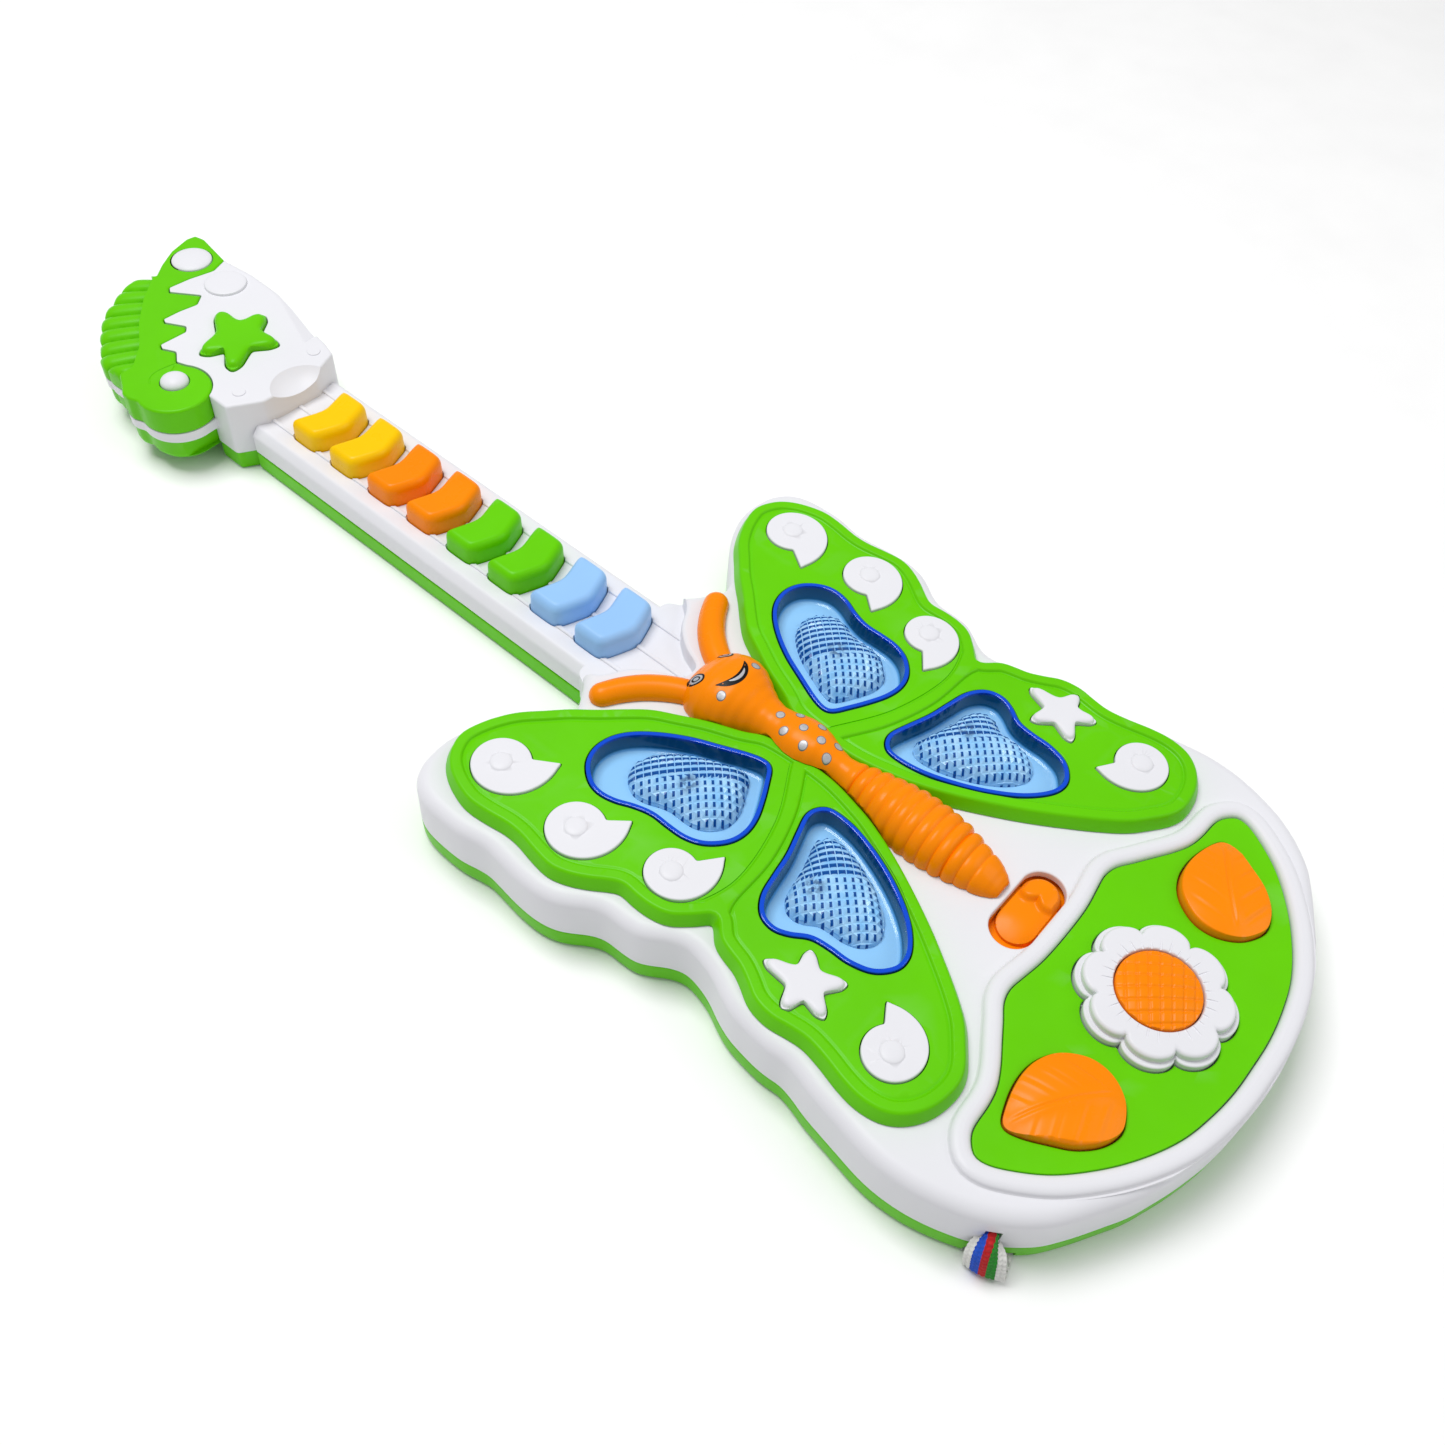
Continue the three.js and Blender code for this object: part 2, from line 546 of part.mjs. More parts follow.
for (const { name, turn, sign } of sides) {
  const inserts = SNAILS.map(snailOutline).map(turn);
  const star = turn(WING_STAR);
  const pockets = [...inserts, star].map((outline) => slab(grow(outline, GAP), INSERT_LOW - GAP, 30));
  const windows = LENSES.map(({ outline }) => slab(grow(turn(outline), GAP), 0, 30));
  const wing = slab(turn(WING), DECK + GAP, WING_TOP, 1.2);
  place(`wing_${name}`, cut(wing, ...pockets, ...windows), COLOURS.green);
  inserts.forEach((outline, index) => {
    const snail = slab(outline, INSERT_LOW, INSERT_TOP, 0.4, 1);
    place(`snail_insert_${name}_${index + 1}`, snail, COLOURS.white);
  });
  place(`star_insert_${name}`, slab(star, INSERT_LOW, INSERT_TOP + 0.7, 0.8, 1), COLOURS.white);

  for (const { name: level, outline, light, dome: domeCentre } of LENSES) {
    const rim = turn(outline);
    const x = light[0] * sign;
    const y = light[1];
    const middle = new THREE.Vector2(domeCentre[0] * sign, domeCentre[1]);
    const domeOutline = rim.map((point) => middle.clone().lerp(point, DOME_SCALE));
    const trayRoom = slab(grow(rim, -LENS_WALL), LENS_FLOOR, 30);
    const tray = cut(slab(rim, LENS_UNDERSIDE, WING_TOP + 0.2), trayRoom);
    const dome = slab(domeOutline, LENS_FLOOR - 0.5, LENS_DOME_TOP, 2.4, 2);
    const ledRoom = turned(x, y, [[0, 0], [4, 0], [4, 21.4], [2.6, 22.8], [0, 22.8]], 8);
    place(`lens_${level}_${name}`, cut(joined(tray, dome), ledRoom), COLOURS.lens, {
      roughness: 0.08,
      opacity: 0.6,
    });
    const bulb = turned(x, y, [[0, LED_LOW], [2.5, LED_LOW], [2.5, 20.2], [1.8, 21.6], [0, 22.2]], 8);
    place(`led_${level}_${name}`, bulb, COLOURS.led, { roughness: 0.1 });
  }

  const ledBoard = slab(rectangle(26, 40, -122, -58), LED_LOW - GAP - 1.4, LED_LOW - GAP);
  place(`led_board_${name}`, sign < 0 ? ledBoard.mirror([1, 0, 0]) : ledBoard, COLOURS.board);
}

// ---- Butterfly -------------------------------------------------------------------------------------

const BUTTERFLY_LOW = DECK + GAP;

// The abdomen's half-width along its length: a spindle that swells after the waist and ends round.
const ABDOMEN = [
  [0, -146.5], [3.6, -144.6], [6.3, -139], [8.2, -132], [9.3, -124], [9.2, -117], [8, -109],
  [6.2, -101.5], [4.6, -96], [4.4, -91], [0, -91],
];

function butterfly() {
  const head = ellipsoid(0, -56, BUTTERFLY_LOW, 13, 12, 11.5);
  const neck = ellipsoid(0, -69, BUTTERFLY_LOW, 6.2, 14, 7.8);
  const thorax = ellipsoid(0, -80.5, BUTTERFLY_LOW, 8, 14, 9.2);
  const spindle = new THREE.LatheGeometry(vectors(ABDOMEN), 14);
  const abdomen = solid(spindle.translate(0, 0, BUTTERFLY_LOW));
  const antennae = [-1, 1].map((sign) => {
    const route = [[6, -50], [9.5, -46], [14, -40], [20, -34.7], [26, -31.5]];
    const points = route.map(([x, y]) => new THREE.Vector3(x * sign, y, 23.6));
    const path = new THREE.CatmullRomCurve3(points);
    const section = new THREE.Shape(circle(0, 0, 2.9, 8));
    const stalk = new THREE.ExtrudeGeometry(section, { steps: 7, extrudePath: path, bevelEnabled: false });
    return joined(solid(stalk), ellipsoid(26 * sign, -31.5, 23.6, 2.9, 2.9, 2.9));
  });
  const whole = joined(head, neck, thorax, abdomen, ...antennae);
  const wingRoom = sides.map(({ turn }) => slab(grow(turn(WING), 0.5), 0, WING_TOP + GAP));
  return cut(whole, below(BUTTERFLY_LOW), ...wingRoom);
}

place("butterfly", butterfly(), COLOURS.orange);

// ---- Tail panel, buttons and power slide -----------------------------------------------------------

const PANEL_TOP = DECK + 0.8;
const flowerHole = slab(grow(flowerOutline(1), SLIDE_GAP), 0, 30);
const leafHoles = sides.map(({ turn }) => slab(grow(turn(LEAF_BUTTON), SLIDE_GAP), 0, 30));
const panel = slab(LEAF_PANEL, DECK - 1.4 + GAP, PANEL_TOP, 0.4, 1);
place("leaf_panel", cut(panel, flowerHole, ...leafHoles), COLOURS.green);

for (const { name, turn } of sides) {
  const outline = turn(LEAF_BUTTON);
  const flange = slab(grow(outline, 1.6), BUTTON_LOW, BUTTON_FLANGE_HIGH);
  place(`leaf_button_${name}`, joined(slab(outline, BUTTON_LOW, 26.2, 2.4, 2), flange), COLOURS.orange);
}

const CENTRE_RADIUS = 10.6;
const flowerBase = slab(flowerOutline(1), BUTTON_LOW, 25, 0.8);
const flowerTop = slab(flowerOutline(0.93), 24, 26.6, 1);
const flowerFlange = slab(circle(FLOWER.x, FLOWER.y, 21.2, 20), BUTTON_LOW, BUTTON_FLANGE_HIGH);
const centreRoom = slab(circle(FLOWER.x, FLOWER.y, CENTRE_RADIUS + GAP, 20), 21.6, 30);
place("flower_button", cut(joined(flowerBase, flowerTop, flowerFlange), centreRoom), COLOURS.white);
const centreDisc = slab(circle(FLOWER.x, FLOWER.y, CENTRE_RADIUS, 20), 21.9, 28, 2.2, 2);
place("flower_center", centreDisc, COLOURS.orange);

const PLATE_LOW = 17.2;
const PLATE_HALF_Y = 7.4;
const KNOB_TOP = 22.4;
const knobPlate = box(
  -18.6,
  18.6,
  POWER_SLOT.y - PLATE_HALF_Y,
  POWER_SLOT.y + PLATE_HALF_Y,
  PLATE_LOW,
  DECK - WALL - SLIDE_GAP,
);
const knobGrip = slab(stadium(1.4, POWER_SLOT.y, 10.6, 5.4), PLATE_LOW + 0.3, KNOB_TOP, 1.2);
place("power_knob", joined(knobPlate, knobGrip), COLOURS.orange);

// ---- Keys ------------------------------------------------------------------------------------------

const KEY_COLOURS = ["sky", "sky", "green", "green", "orange", "orange", "yellow", "yellow"];

KEY_COLOURS.forEach((colour, index) => {
  const y = keyCentre(index);
  const cap = slab(moved(KEY, 0, y), KEY_FLANGE_LOW, KEY_TOP, 2.4, 2);
  const flange = box(-12.6, 12.6, y - 5.6, y + 5.6, KEY_FLANGE_LOW, KEY_FLANGE_HIGH);
  place(`key_${index + 1}`, joined(cap, flange), COLOURS[colour]);
});

// ---- Headstock -------------------------------------------------------------------------------------

function headCap() {
  const band = slab(CAP, HEAD_LEDGE + GAP, HEAD_TOP, 0.8);
  const maneRoom = slab(MANE, 22.6, 40);
  const dotRooms = [DOT_LARGE, DOT_SMALL].map(({ x, y, radius }) =>
    slab(circle(x, y, radius + GAP, 20), HEAD_TOP - 1.5, 40),
  );
  return cut(band, maneRoom, ...dotRooms);
}

place("head_cap", headCap(), COLOURS.green);
for (const [name, { x, y, radius }, rise] of [["large", DOT_LARGE, 1.6], ["small", DOT_SMALL, 2.4]]) {
  const dot = slab(circle(x, y, radius, 20), HEAD_TOP - 1.2, HEAD_TOP + rise, 1.2);
  place(`head_dot_${name}`, dot, COLOURS.white);
}

const STAR_LOW = 19;
const starFlange = slab(circle(1.5, 162.6, 10.5, 16), STAR_LOW, 22.2);
place("head_star_button", joined(slab(HEAD_STAR, STAR_LOW, HEAD_TOP + 2.6, 1.2), starFlange), COLOURS.green);

// ---- Inside ----------------------------------------------------------------------------------------

const BUTTON_PADS_LOW = BOARD_LOW + BOARD_THICKNESS + GAP;
place("main_board", box(-47, 47, -203, -140, BOARD_LOW, BOARD_LOW + BOARD_THICKNESS), COLOURS.board);
place("button_membrane", box(-46, 46, -202, -176, BUTTON_PADS_LOW, 15.9), COLOURS.rubber);
place("switch_body", box(-7, 7, -158, -150, BUTTON_PADS_LOW, 16.8), COLOURS.steel, METAL);
place("key_board", box(-14, 14, -28, 130, 5, 6.6), COLOURS.board);
place("key_membrane", box(-13.4, 13.4, -26, 128, 6.9, 9), COLOURS.rubber);
place("head_switch_board", box(-10, 13, 154, 172, 13.4, 16.6), COLOURS.board);

const { low: speakerLow, high: speakerHigh, radius: speakerRadius } = SPEAKER;
const speakerProfile = [
  [0, speakerLow], [speakerRadius, speakerLow], [speakerRadius, speakerLow + 3],
  [speakerRadius - 6, speakerLow + 5.4], [speakerRadius - 6, speakerHigh], [0, speakerHigh],
];
place("speaker", turned(SPEAKER.x, SPEAKER.y, speakerProfile, 24), COLOURS.dark);

[-1, 0, 1].forEach((column, index) => {
  const x = column * CELL_PITCH;
  const half = CELL_LENGTH / 2;
  const can = barAlongY(x, CELL_Z, CELL_RADIUS, CELL_Y - half, CELL_Y + half - 1.2);
  const button = barAlongY(x, CELL_Z, 2.7, CELL_Y + half - 1.3, CELL_Y + half, 12);
  place(`battery_${index + 1}`, joined(can, button), COLOURS.cell, { metalness: 0.3 });
});
const contactHalf = BAY.halfX - 0.6;
for (const [end, y] of [["front", BAY.low + 0.7], ["rear", BAY.high - 0.7]]) {
  const contact = box(-contactHalf, contactHalf, y - 0.3, y + 0.3, 3, 10.5);
  place(`battery_contact_${end}`, contact, COLOURS.steel, METAL);
}

// ---- Strap -----------------------------------------------------------------------------------------

// The webbing leaves the side slot bunched, opens out, hangs down to the ground and goes back in at the foot.
function strapLoop() {
  const route = [
    [0.8, 13.4], [2.8, 12.2], [4.3, 9.5], [5.2, 5.5], [4.8, 2.4], [2.6, 1.1], [-3, 1.1], [-9, 1.1],
  ];
  const line = new THREE.CatmullRomCurve3(route.map(([x, z]) => new THREE.Vector3(x, z, 0)));
  const points = line.getPoints(16).map((p) => new THREE.Vector2(p.x, p.y));
  const half = STRAP.thickness / 2;
  const normals = points.map((p, i) => {
    const a = points[Math.max(0, i - 1)];
    const b = points[Math.min(points.length - 1, i + 1)];
    return new THREE.Vector2(-(b.y - a.y), b.x - a.x).normalize();
  });
  const outer = points.map((p, i) => p.clone().addScaledVector(normals[i], half));
  const inner = points.map((p, i) => p.clone().addScaledVector(normals[i], -half)).reverse();
  const shape = new THREE.Shape([...outer, ...inner]);
  const band = new THREE.ExtrudeGeometry(shape, { depth: STRAP.width, bevelEnabled: false });
  const loop = solid(band.translate(0, 0, -strapHalf).rotateX(Math.PI / 2));
  return strapFrame(joined(loop, box(-9, 1.6, -bunchedHalf, bunchedHalf, 10.8, 14.2)));
}

place("strap_loop", strapLoop(), COLOURS.webbing, { roughness: 0.9 });
place("strap_pin", strapFrame(box(-12.6, -9.6, -6.5, 6.5, 2.3, 15.4)), COLOURS.white);

export default guitar;
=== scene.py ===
import math

import bmesh
import bpy
import numpy as np
from mathutils import Matrix, Vector
from mathutils.bvhtree import BVHTree
from mathutils.geometry import delaunay_2d_cdt


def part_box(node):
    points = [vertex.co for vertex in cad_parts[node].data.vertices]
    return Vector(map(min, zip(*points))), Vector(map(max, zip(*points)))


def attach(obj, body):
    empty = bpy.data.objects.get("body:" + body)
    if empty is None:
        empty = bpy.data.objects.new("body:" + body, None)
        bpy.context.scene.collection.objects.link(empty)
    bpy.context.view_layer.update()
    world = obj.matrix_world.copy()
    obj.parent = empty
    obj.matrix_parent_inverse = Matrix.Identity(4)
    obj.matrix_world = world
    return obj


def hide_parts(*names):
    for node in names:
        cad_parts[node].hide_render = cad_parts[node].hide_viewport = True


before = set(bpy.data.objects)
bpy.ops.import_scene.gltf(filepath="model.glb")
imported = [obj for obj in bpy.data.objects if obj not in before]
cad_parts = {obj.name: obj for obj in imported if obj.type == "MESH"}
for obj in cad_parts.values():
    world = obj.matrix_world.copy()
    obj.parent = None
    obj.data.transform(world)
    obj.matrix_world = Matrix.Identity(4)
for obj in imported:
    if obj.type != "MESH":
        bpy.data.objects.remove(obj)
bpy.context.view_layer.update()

# A toy electric guitar on its back, with a butterfly deck. Shapes are worked out in millimetres, in the
# frame of the CAD part, and turned into metres where a mesh is made. +Y runs to the headstock, +X right,
# +Z out of the front.

MM = 0.001


def low(node):
    """The lowest corner of the node's box in millimetres; high() is its opposite corner."""
    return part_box(node)[0] / MM


def high(node):
    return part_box(node)[1] / MM


# ---- Heights and places taken from the frame ----------------------------------------------------------

GAP = 0.3  # between fixed pieces
SLIDE_GAP = 0.4  # around keys and buttons
WALL = 2.2
FINE = 0.2  # the spacing at which outlines are smoothed
ABOVE = 40  # higher than any piece: where cutters that are open at the top end
WING_LOW = low("wing_left").z
WING_TOP = high("wing_left").z
DECK = WING_LOW - GAP
SEAM = 6.75
NECK_TOP = 16.65
NECK_HALF = 18.1
NECK_LAND_HALF = 15.8
NECK_BEVEL_Z = 13.8
NECK_START = -45
NECK_END = 133
HEAD_TOP = high("head_cap").z
HEAD_LEDGE = low("head_cap").z - GAP
HEAD_SEAM = 12.9
HEAD_BACK = 5
NUT_END = 147
BACK_FLOOR = 2
PANEL_TOP = high("leaf_panel").z
PANEL_LOW = low("leaf_panel").z
KEY_TOP = high("key_1").z
KEY_LOW = low("key_1").z
LENS_LOW = low("lens_upper_left").z
LENS_FLOOR = 20.4
LENS_WALL = 1.2

# ---- Outlines -----------------------------------------------------------------------------------------


def mirrored(loop):
    """The outline on the other side of the centre line, still anticlockwise."""
    return (np.asarray(loop, float) * [-1, 1])[::-1]


def symmetric(half):
    """A half outline that starts and ends on the centre line, completed by its mirror image."""
    right = np.asarray(half, float)
    left = [p for p in mirrored(right) if abs(p[0]) > 1e-6]
    return np.vstack([right, left])


def anticlockwise(loop):
    loop = np.asarray(loop, float)
    after = np.roll(loop, -1, 0)
    area = np.sum(loop[:, 0] * after[:, 1] - after[:, 0] * loop[:, 1])
    return loop if area > 0 else loop[::-1]


def resampled(loop, step):
    """The closed polyline with its points an even step apart."""
    closed = np.vstack([loop, loop[:1]])
    along = np.concatenate([[0], np.cumsum(np.linalg.norm(np.diff(closed, axis=0), axis=1))])
    count = max(8, int(round(along[-1] / step)))
    at = np.arange(count) * along[-1] / count
    return np.column_stack([np.interp(at, along, closed[:, k]) for k in range(closed.shape[1])])


def softened(loop, radius, step):
    """The outline with its corners rounded to about the radius, by averaging along it."""
    fine = resampled(anticlockwise(loop), FINE)
    reach = int(3 * radius / FINE) + 1
    weights = np.exp(-0.5 * (np.arange(-reach, reach + 1) * FINE / radius) ** 2)
    weights /= weights.sum()
    around = np.take(fine, np.arange(-reach, len(fine) + reach), axis=0, mode="wrap")
    smooth = np.column_stack([np.convolve(around[:, k], weights, "valid") for k in (0, 1)])
    return resampled(smooth, step)


def between(a, b, c, d, t):
    """The smooth curve's points between b and c, at shares t of the way; a and d are the points beyond."""
    return 0.5 * (2 * b + (c - a) * t + (2 * a - 5 * b + 4 * c - d) * t**2 + (3 * b - a - 3 * c + d) * t**3)


def curved(points, step=1.2, soften=1.0):
    """A smooth closed curve through the points."""
    points = anticlockwise(points)
    before, after, beyond = np.roll(points, 1, 0), np.roll(points, -1, 0), np.roll(points, -2, 0)
    parts = []
    for a, b, c, d in zip(before, points, after, beyond):
        parts.append(between(a, b, c, d, np.arange(0, 1, 0.1)[:, None]))
    return softened(np.vstack(parts), soften, step)


def grown(loop, distance):
    """The anticlockwise outline moved outwards, or inwards where the distance is negative, without folds.

    Points that come too near the first outline would make a fold, so they are drawn between their neighbours.
    """
    if abs(distance) < 1e-6:
        return loop.copy()
    before, after = np.roll(loop, 1, 0), np.roll(loop, -1, 0)
    a = loop - before
    b = after - loop
    a /= np.linalg.norm(a, axis=1)[:, None]
    b /= np.linalg.norm(b, axis=1)[:, None]
    normal = np.column_stack([a[:, 1] + b[:, 1], -a[:, 0] - b[:, 0]])
    normal /= np.linalg.norm(normal, axis=1)[:, None]
    spread = np.maximum(0.6, np.sum(normal * np.column_stack([a[:, 1], -a[:, 0]]), axis=1))
    moved = loop + normal * (distance / spread)[:, None]
    edge = after - loop
    away = moved[:, None] - loop[None]
    share = np.clip(np.sum(away * edge, axis=2) / np.sum(edge * edge, axis=1), 0, 1)
    nearest = np.linalg.norm(away - share[:, :, None] * edge, axis=2).min(axis=1)
    sound = np.flatnonzero(nearest > 0.96 * abs(distance) - 0.002)
    if 2 < len(sound) < len(loop):
        for k in (0, 1):
            moved[:, k] = np.interp(np.arange(len(loop)), sound, moved[sound, k], period=len(loop))
    return moved


def inside(loop, points):
    """Whether each point is inside the closed outline."""
    x, y = points[..., 0], points[..., 1]
    result = np.zeros(x.shape, bool)
    for a, b in zip(loop, np.roll(loop, -1, 0)):
        if a[1] != b[1]:
            at = a[0] + (y - a[1]) / (b[1] - a[1]) * (b[0] - a[0])
            result ^= ((a[1] > y) != (b[1] > y)) & (at > x)
    return result


def circle(x, y, radius, count=48):
    angle = np.arange(count) * 2 * math.pi / count
    return np.column_stack([x + radius * np.cos(angle), y + radius * np.sin(angle)])


def stadium(x, y, half_length, radius, count=40):
    points = circle(0, 0, radius, count)
    reach = half_length - radius
    points[:, 0] += np.where(points[:, 0] > 1e-9, reach, -reach) + x
    points[:, 1] += y
    return anticlockwise(points)


def rectangle(x0, x1, y0, y1, soften=0.0, step=1.0):
    corners = np.array([[x0, y0], [x1, y0], [x1, y1], [x0, y1]], float)
    return softened(corners, soften, step) if soften else corners


def polar(x, y, start, sweep, count, radius_at):
    turn = np.arange(count) / count
    angle = np.radians(start + sweep * turn)
    radius = radius_at(turn)
    return np.column_stack([x + radius * np.cos(angle), y + radius * np.sin(angle)])


BODY = curved(symmetric([
    [0, -222.7], [10, -222.2], [20, -220.8], [30, -218.2], [38, -215.4], [43.5, -213.2], [48.5, -210.4],
    [53.6, -207.5], [58.4, -204.5], [62.9, -201.2], [68, -195.5], [71.8, -189.6], [73.5, -185.8],
    [75.3, -180.8], [76.7, -175.4], [77.4, -170.5], [77.6, -165.4], [77.2, -160.6], [76.2, -154.6],
    [74.4, -144.2], [73, -139], [72.2, -134.5], [72.6, -131], [72.6, -127], [72, -121.5],
    [71.2, -117.2], [69.6, -112.8], [67.1, -107.5], [65.7, -102.6], [65.3, -98.3], [66.7, -94.4],
    [69.2, -90.7], [71.2, -87], [71.8, -82.2], [72, -77], [73.7, -73], [76.4, -69.2], [78.5, -65.4],
    [79.7, -60.2], [79.8, -54], [79.2, -47.5], [78.7, -42], [79.3, -38], [80.4, -33], [80.6, -26.5],
    [80.1, -20], [78.4, -15.3], [75.5, -12], [71.6, -9.9], [67, -9], [62, -8.8], [57, -9.8], [52, -12],
    [47, -15], [42, -19], [37, -23.5], [32, -26.5], [26, -23.5], [21, -19.5], [18.1, -15], [8, -15],
]), 1.0, 1.2)

VALLEY = curved(symmetric([[0, -41], [3, -40], [6, -33.5], [11, -27.5], [19, -22], [24, -10], [0, -8]]), 0.8, 0.6)

WING = curved([
    [5, -75], [8.7, -67], [12.5, -58], [16.3, -51], [20, -44.5], [25, -39], [30, -34], [35, -28.5],
    [40, -24], [45, -19.5], [50, -16.5], [55, -14.5], [60, -13.5], [64, -14.5], [68, -17], [71, -21],
    [73, -26], [74, -31], [73.5, -37], [72.5, -43], [72.5, -48], [73.5, -54], [74, -60], [72.5, -65],
    [70, -69.5], [67.5, -73], [65.5, -76.5], [65.7, -81], [65.5, -86], [64, -91], [60, -95.5],
    [56.4, -99.3], [60.5, -104], [62, -108], [63, -112], [65, -116], [67.5, -120.5], [68.3, -126],
    [67.5, -131], [67, -136], [68, -142], [69.5, -148], [70.2, -154], [69, -160], [65.5, -164.5],
    [60, -167.5], [53, -168.5], [48, -167.3], [43, -164], [38, -160], [33, -154], [28, -147],
    [23, -139.5], [18, -131], [13, -121.5], [9.5, -113.5], [7, -106], [4.5, -93],
], 0.9, 1.0)

# The shared ridge between the upper and the lower wing, from the butterfly to the notch at the outer edge.
WING_RIDGE = curved([
    [3, -82], [8, -84], [25, -93], [45, -97], [60, -93], [70, -88], [70, -104], [56, -101.8], [50, -100],
    [35, -99], [20, -94.5], [7, -87.5], [2, -86],
], 0.9, 0.5)

UPPER_LENS = curved([
    [12, -78.5], [13, -74], [16.5, -66], [20, -58.5], [24.5, -51.5], [29.5, -46], [34.5, -43],
    [40, -42.3], [45, -44.2], [48.7, -48.5], [50, -53], [49.2, -58], [47, -63], [45.6, -68],
    [45.6, -73.5], [45.2, -79], [43, -84], [38.5, -88], [33.5, -89.4], [28, -88.6], [22, -86],
    [17, -83.3], [13.2, -81],
], 0.8, 0.7)

LOWER_LENS = curved([
    [12.2, -101.5], [14, -98], [18, -96.6], [24, -98.3], [31, -100.6], [38, -102], [44.5, -103.6],
    [49, -107], [50.3, -111.7], [48.8, -116], [46, -120.3], [45.2, -125.5], [45, -131], [43, -137],
    [38.5, -140.8], [34, -141.1], [29.5, -138.8], [24.5, -134], [19.5, -126.5], [15.5, -118],
    [12.8, -109.5],
], 0.8, 0.7)

# Each lens: its outline, the place of its light and the middle of its dome.
LENSES = {
    "upper": (UPPER_LENS, (31.5, -68), (29.5, -69.5)),
    "lower": (LOWER_LENS, (33.5, -111.6), (30.2, -113.5)),
}

# Snail shells: centre x and y, inner radius, tip radius, tip direction in degrees, on the right wing.
SNAILS = [
    (60.2, -28.5, 8, 15.2, 228), (61.5, -56.8, 7.9, 14.1, 219),
    (54.8, -83.2, 7, 13.9, 209), (56.5, -152.5, 7.2, 12.7, 138),
]


def snail_outline(x, y, inner, tip, angle):
    growth = tip / inner - 1

    def radius_at(turn):
        return inner * (1 + growth * np.maximum(0, 2 * turn - 1) ** 2)

    spiral = polar(x, y, angle + 352, -352, 60, radius_at)
    toward = np.array([math.cos(math.radians(angle)), math.sin(math.radians(angle))])
    return softened(np.vstack([spiral, [x, y] + toward * tip * 1.02]), 0.3, 0.4)


def star_outline(x, y, arms, waist, soften, step=0.5):
    """A star from the (direction, length) of each arm and the radius of the notches between them."""
    points = []
    for i, (angle, length) in enumerate(arms):
        after = arms[(i + 1) % len(arms)][0] + (360 if i + 1 == len(arms) else 0)
        along = np.array([math.cos(math.radians(angle)), math.sin(math.radians(angle))])
        across = np.array([-along[1], along[0]])
        notch = math.radians((angle + after) / 2)
        points.append([x, y] + along * length * 0.88 - across * waist * 0.34)
        points.append([x, y] + along * length * 1.06)
        points.append([x, y] + along * length * 0.88 + across * waist * 0.34)
        points.append([x + waist * math.cos(notch), y + waist * math.sin(notch)])
    return softened(points, soften, step)


WING_STAR = star_outline(56.3, -127, [(-65, 9.5), (0, 8.5), (81, 11.1), (149, 9), (228, 9.7)], 4.6, 0.6)
HEAD_STAR = star_outline(1.5, 162.2, [(-57, 13.2), (19, 14.4), (76, 16.4), (170, 13.4), (226, 16)], 7.4, 1.0)

LEAF_PANEL = curved(symmetric([
    [0, -165.3], [10, -165], [18, -163.8], [22, -163.3], [26, -164.2], [30, -166.7], [35, -169.7],
    [40, -172.7], [45, -175], [50, -176], [57, -176.5], [60.5, -178.5], [62, -181], [60.3, -186],
    [54, -195], [45, -203], [36, -208.8], [27, -212.9], [18, -215.1], [9, -216.3], [0, -216.5],
]), 1.0, 0.8)

LEAF_BUTTON = curved([
    [52, -181], [48, -179], [42, -177.5], [36, -177.5], [31, -179.3], [27.5, -182.5], [25, -187.5],
    [25.2, -193], [28, -198], [32, -200.8], [36, -201.8], [41, -200], [45.5, -196], [48.5, -191],
    [51.5, -185],
], 0.7, 0.7)

FLOWER = (0, -190.2)
PETALS = 8


def flower_outline(scale, step=0.6):
    def radius_at(turn):
        return (16.3 + 3.5 * np.sqrt(np.abs(np.sin(turn * PETALS * math.pi)))) * scale
    return softened(polar(*FLOWER, 0, 360, 320, radius_at), 0.25, step)


KEY = symmetric([[0, -10.1], [11.1, -6.1], [11.1, 5.8], [0, 2.1]])
KEY_PITCH = 18
FIRST_KEY_Y = -10.6
KEY_COLOURS = ["sky", "sky", "green", "green", "orange", "orange", "yellow", "yellow"]

SCROLL = (-28.3, 156.5, 12)
CREST = [[28.8, 218.3], [27.9, 222.2], [24.3, 222.7], [16.2, 220.1], [9, 215.6], [3.8, 211.4]]
MANE_EDGE = [
    [0.5, 215], [-3.5, 217.6], [-7.5, 217.3], [-12.7, 213.8], [-17.6, 211], [-21, 208.3],
    [-24.8, 203.7], [-28, 199.3], [-31.3, 194], [-34, 190.5], [-35.8, 185.8], [-35.6, 180], [-35.5, 175.5],
]
LOBE = [[-38.9, 169.1], [-40.9, 166], [-41.2, 162.8]]
HEAD_LEFT = [*CREST, *MANE_EDGE, *LOBE]

# The mane's flutes fan out from a far point: its place, the turn of one groove and that from groove to groove.
FAN = np.array([115.8, 75.6])
FLUTE_START = 133.5
FLUTE_PITCH = 2.15
FLUTED_TURNS = (129.5, 146.2)
FLUTED_REACH = 178
FAN_EDGE = np.array(MANE_EDGE[1:]) - FAN


def flute_roll(x, y):
    """How full a flute is at a place: 1 along its crest, 0 in the grooves beside it."""
    turn = (np.degrees(np.arctan2(y - FAN[1], x - FAN[0])) - FLUTE_START) / FLUTE_PITCH
    across = 2 * (turn - np.floor(turn)) - 1
    return np.sqrt(np.clip(1 - across**2, 0, 1))


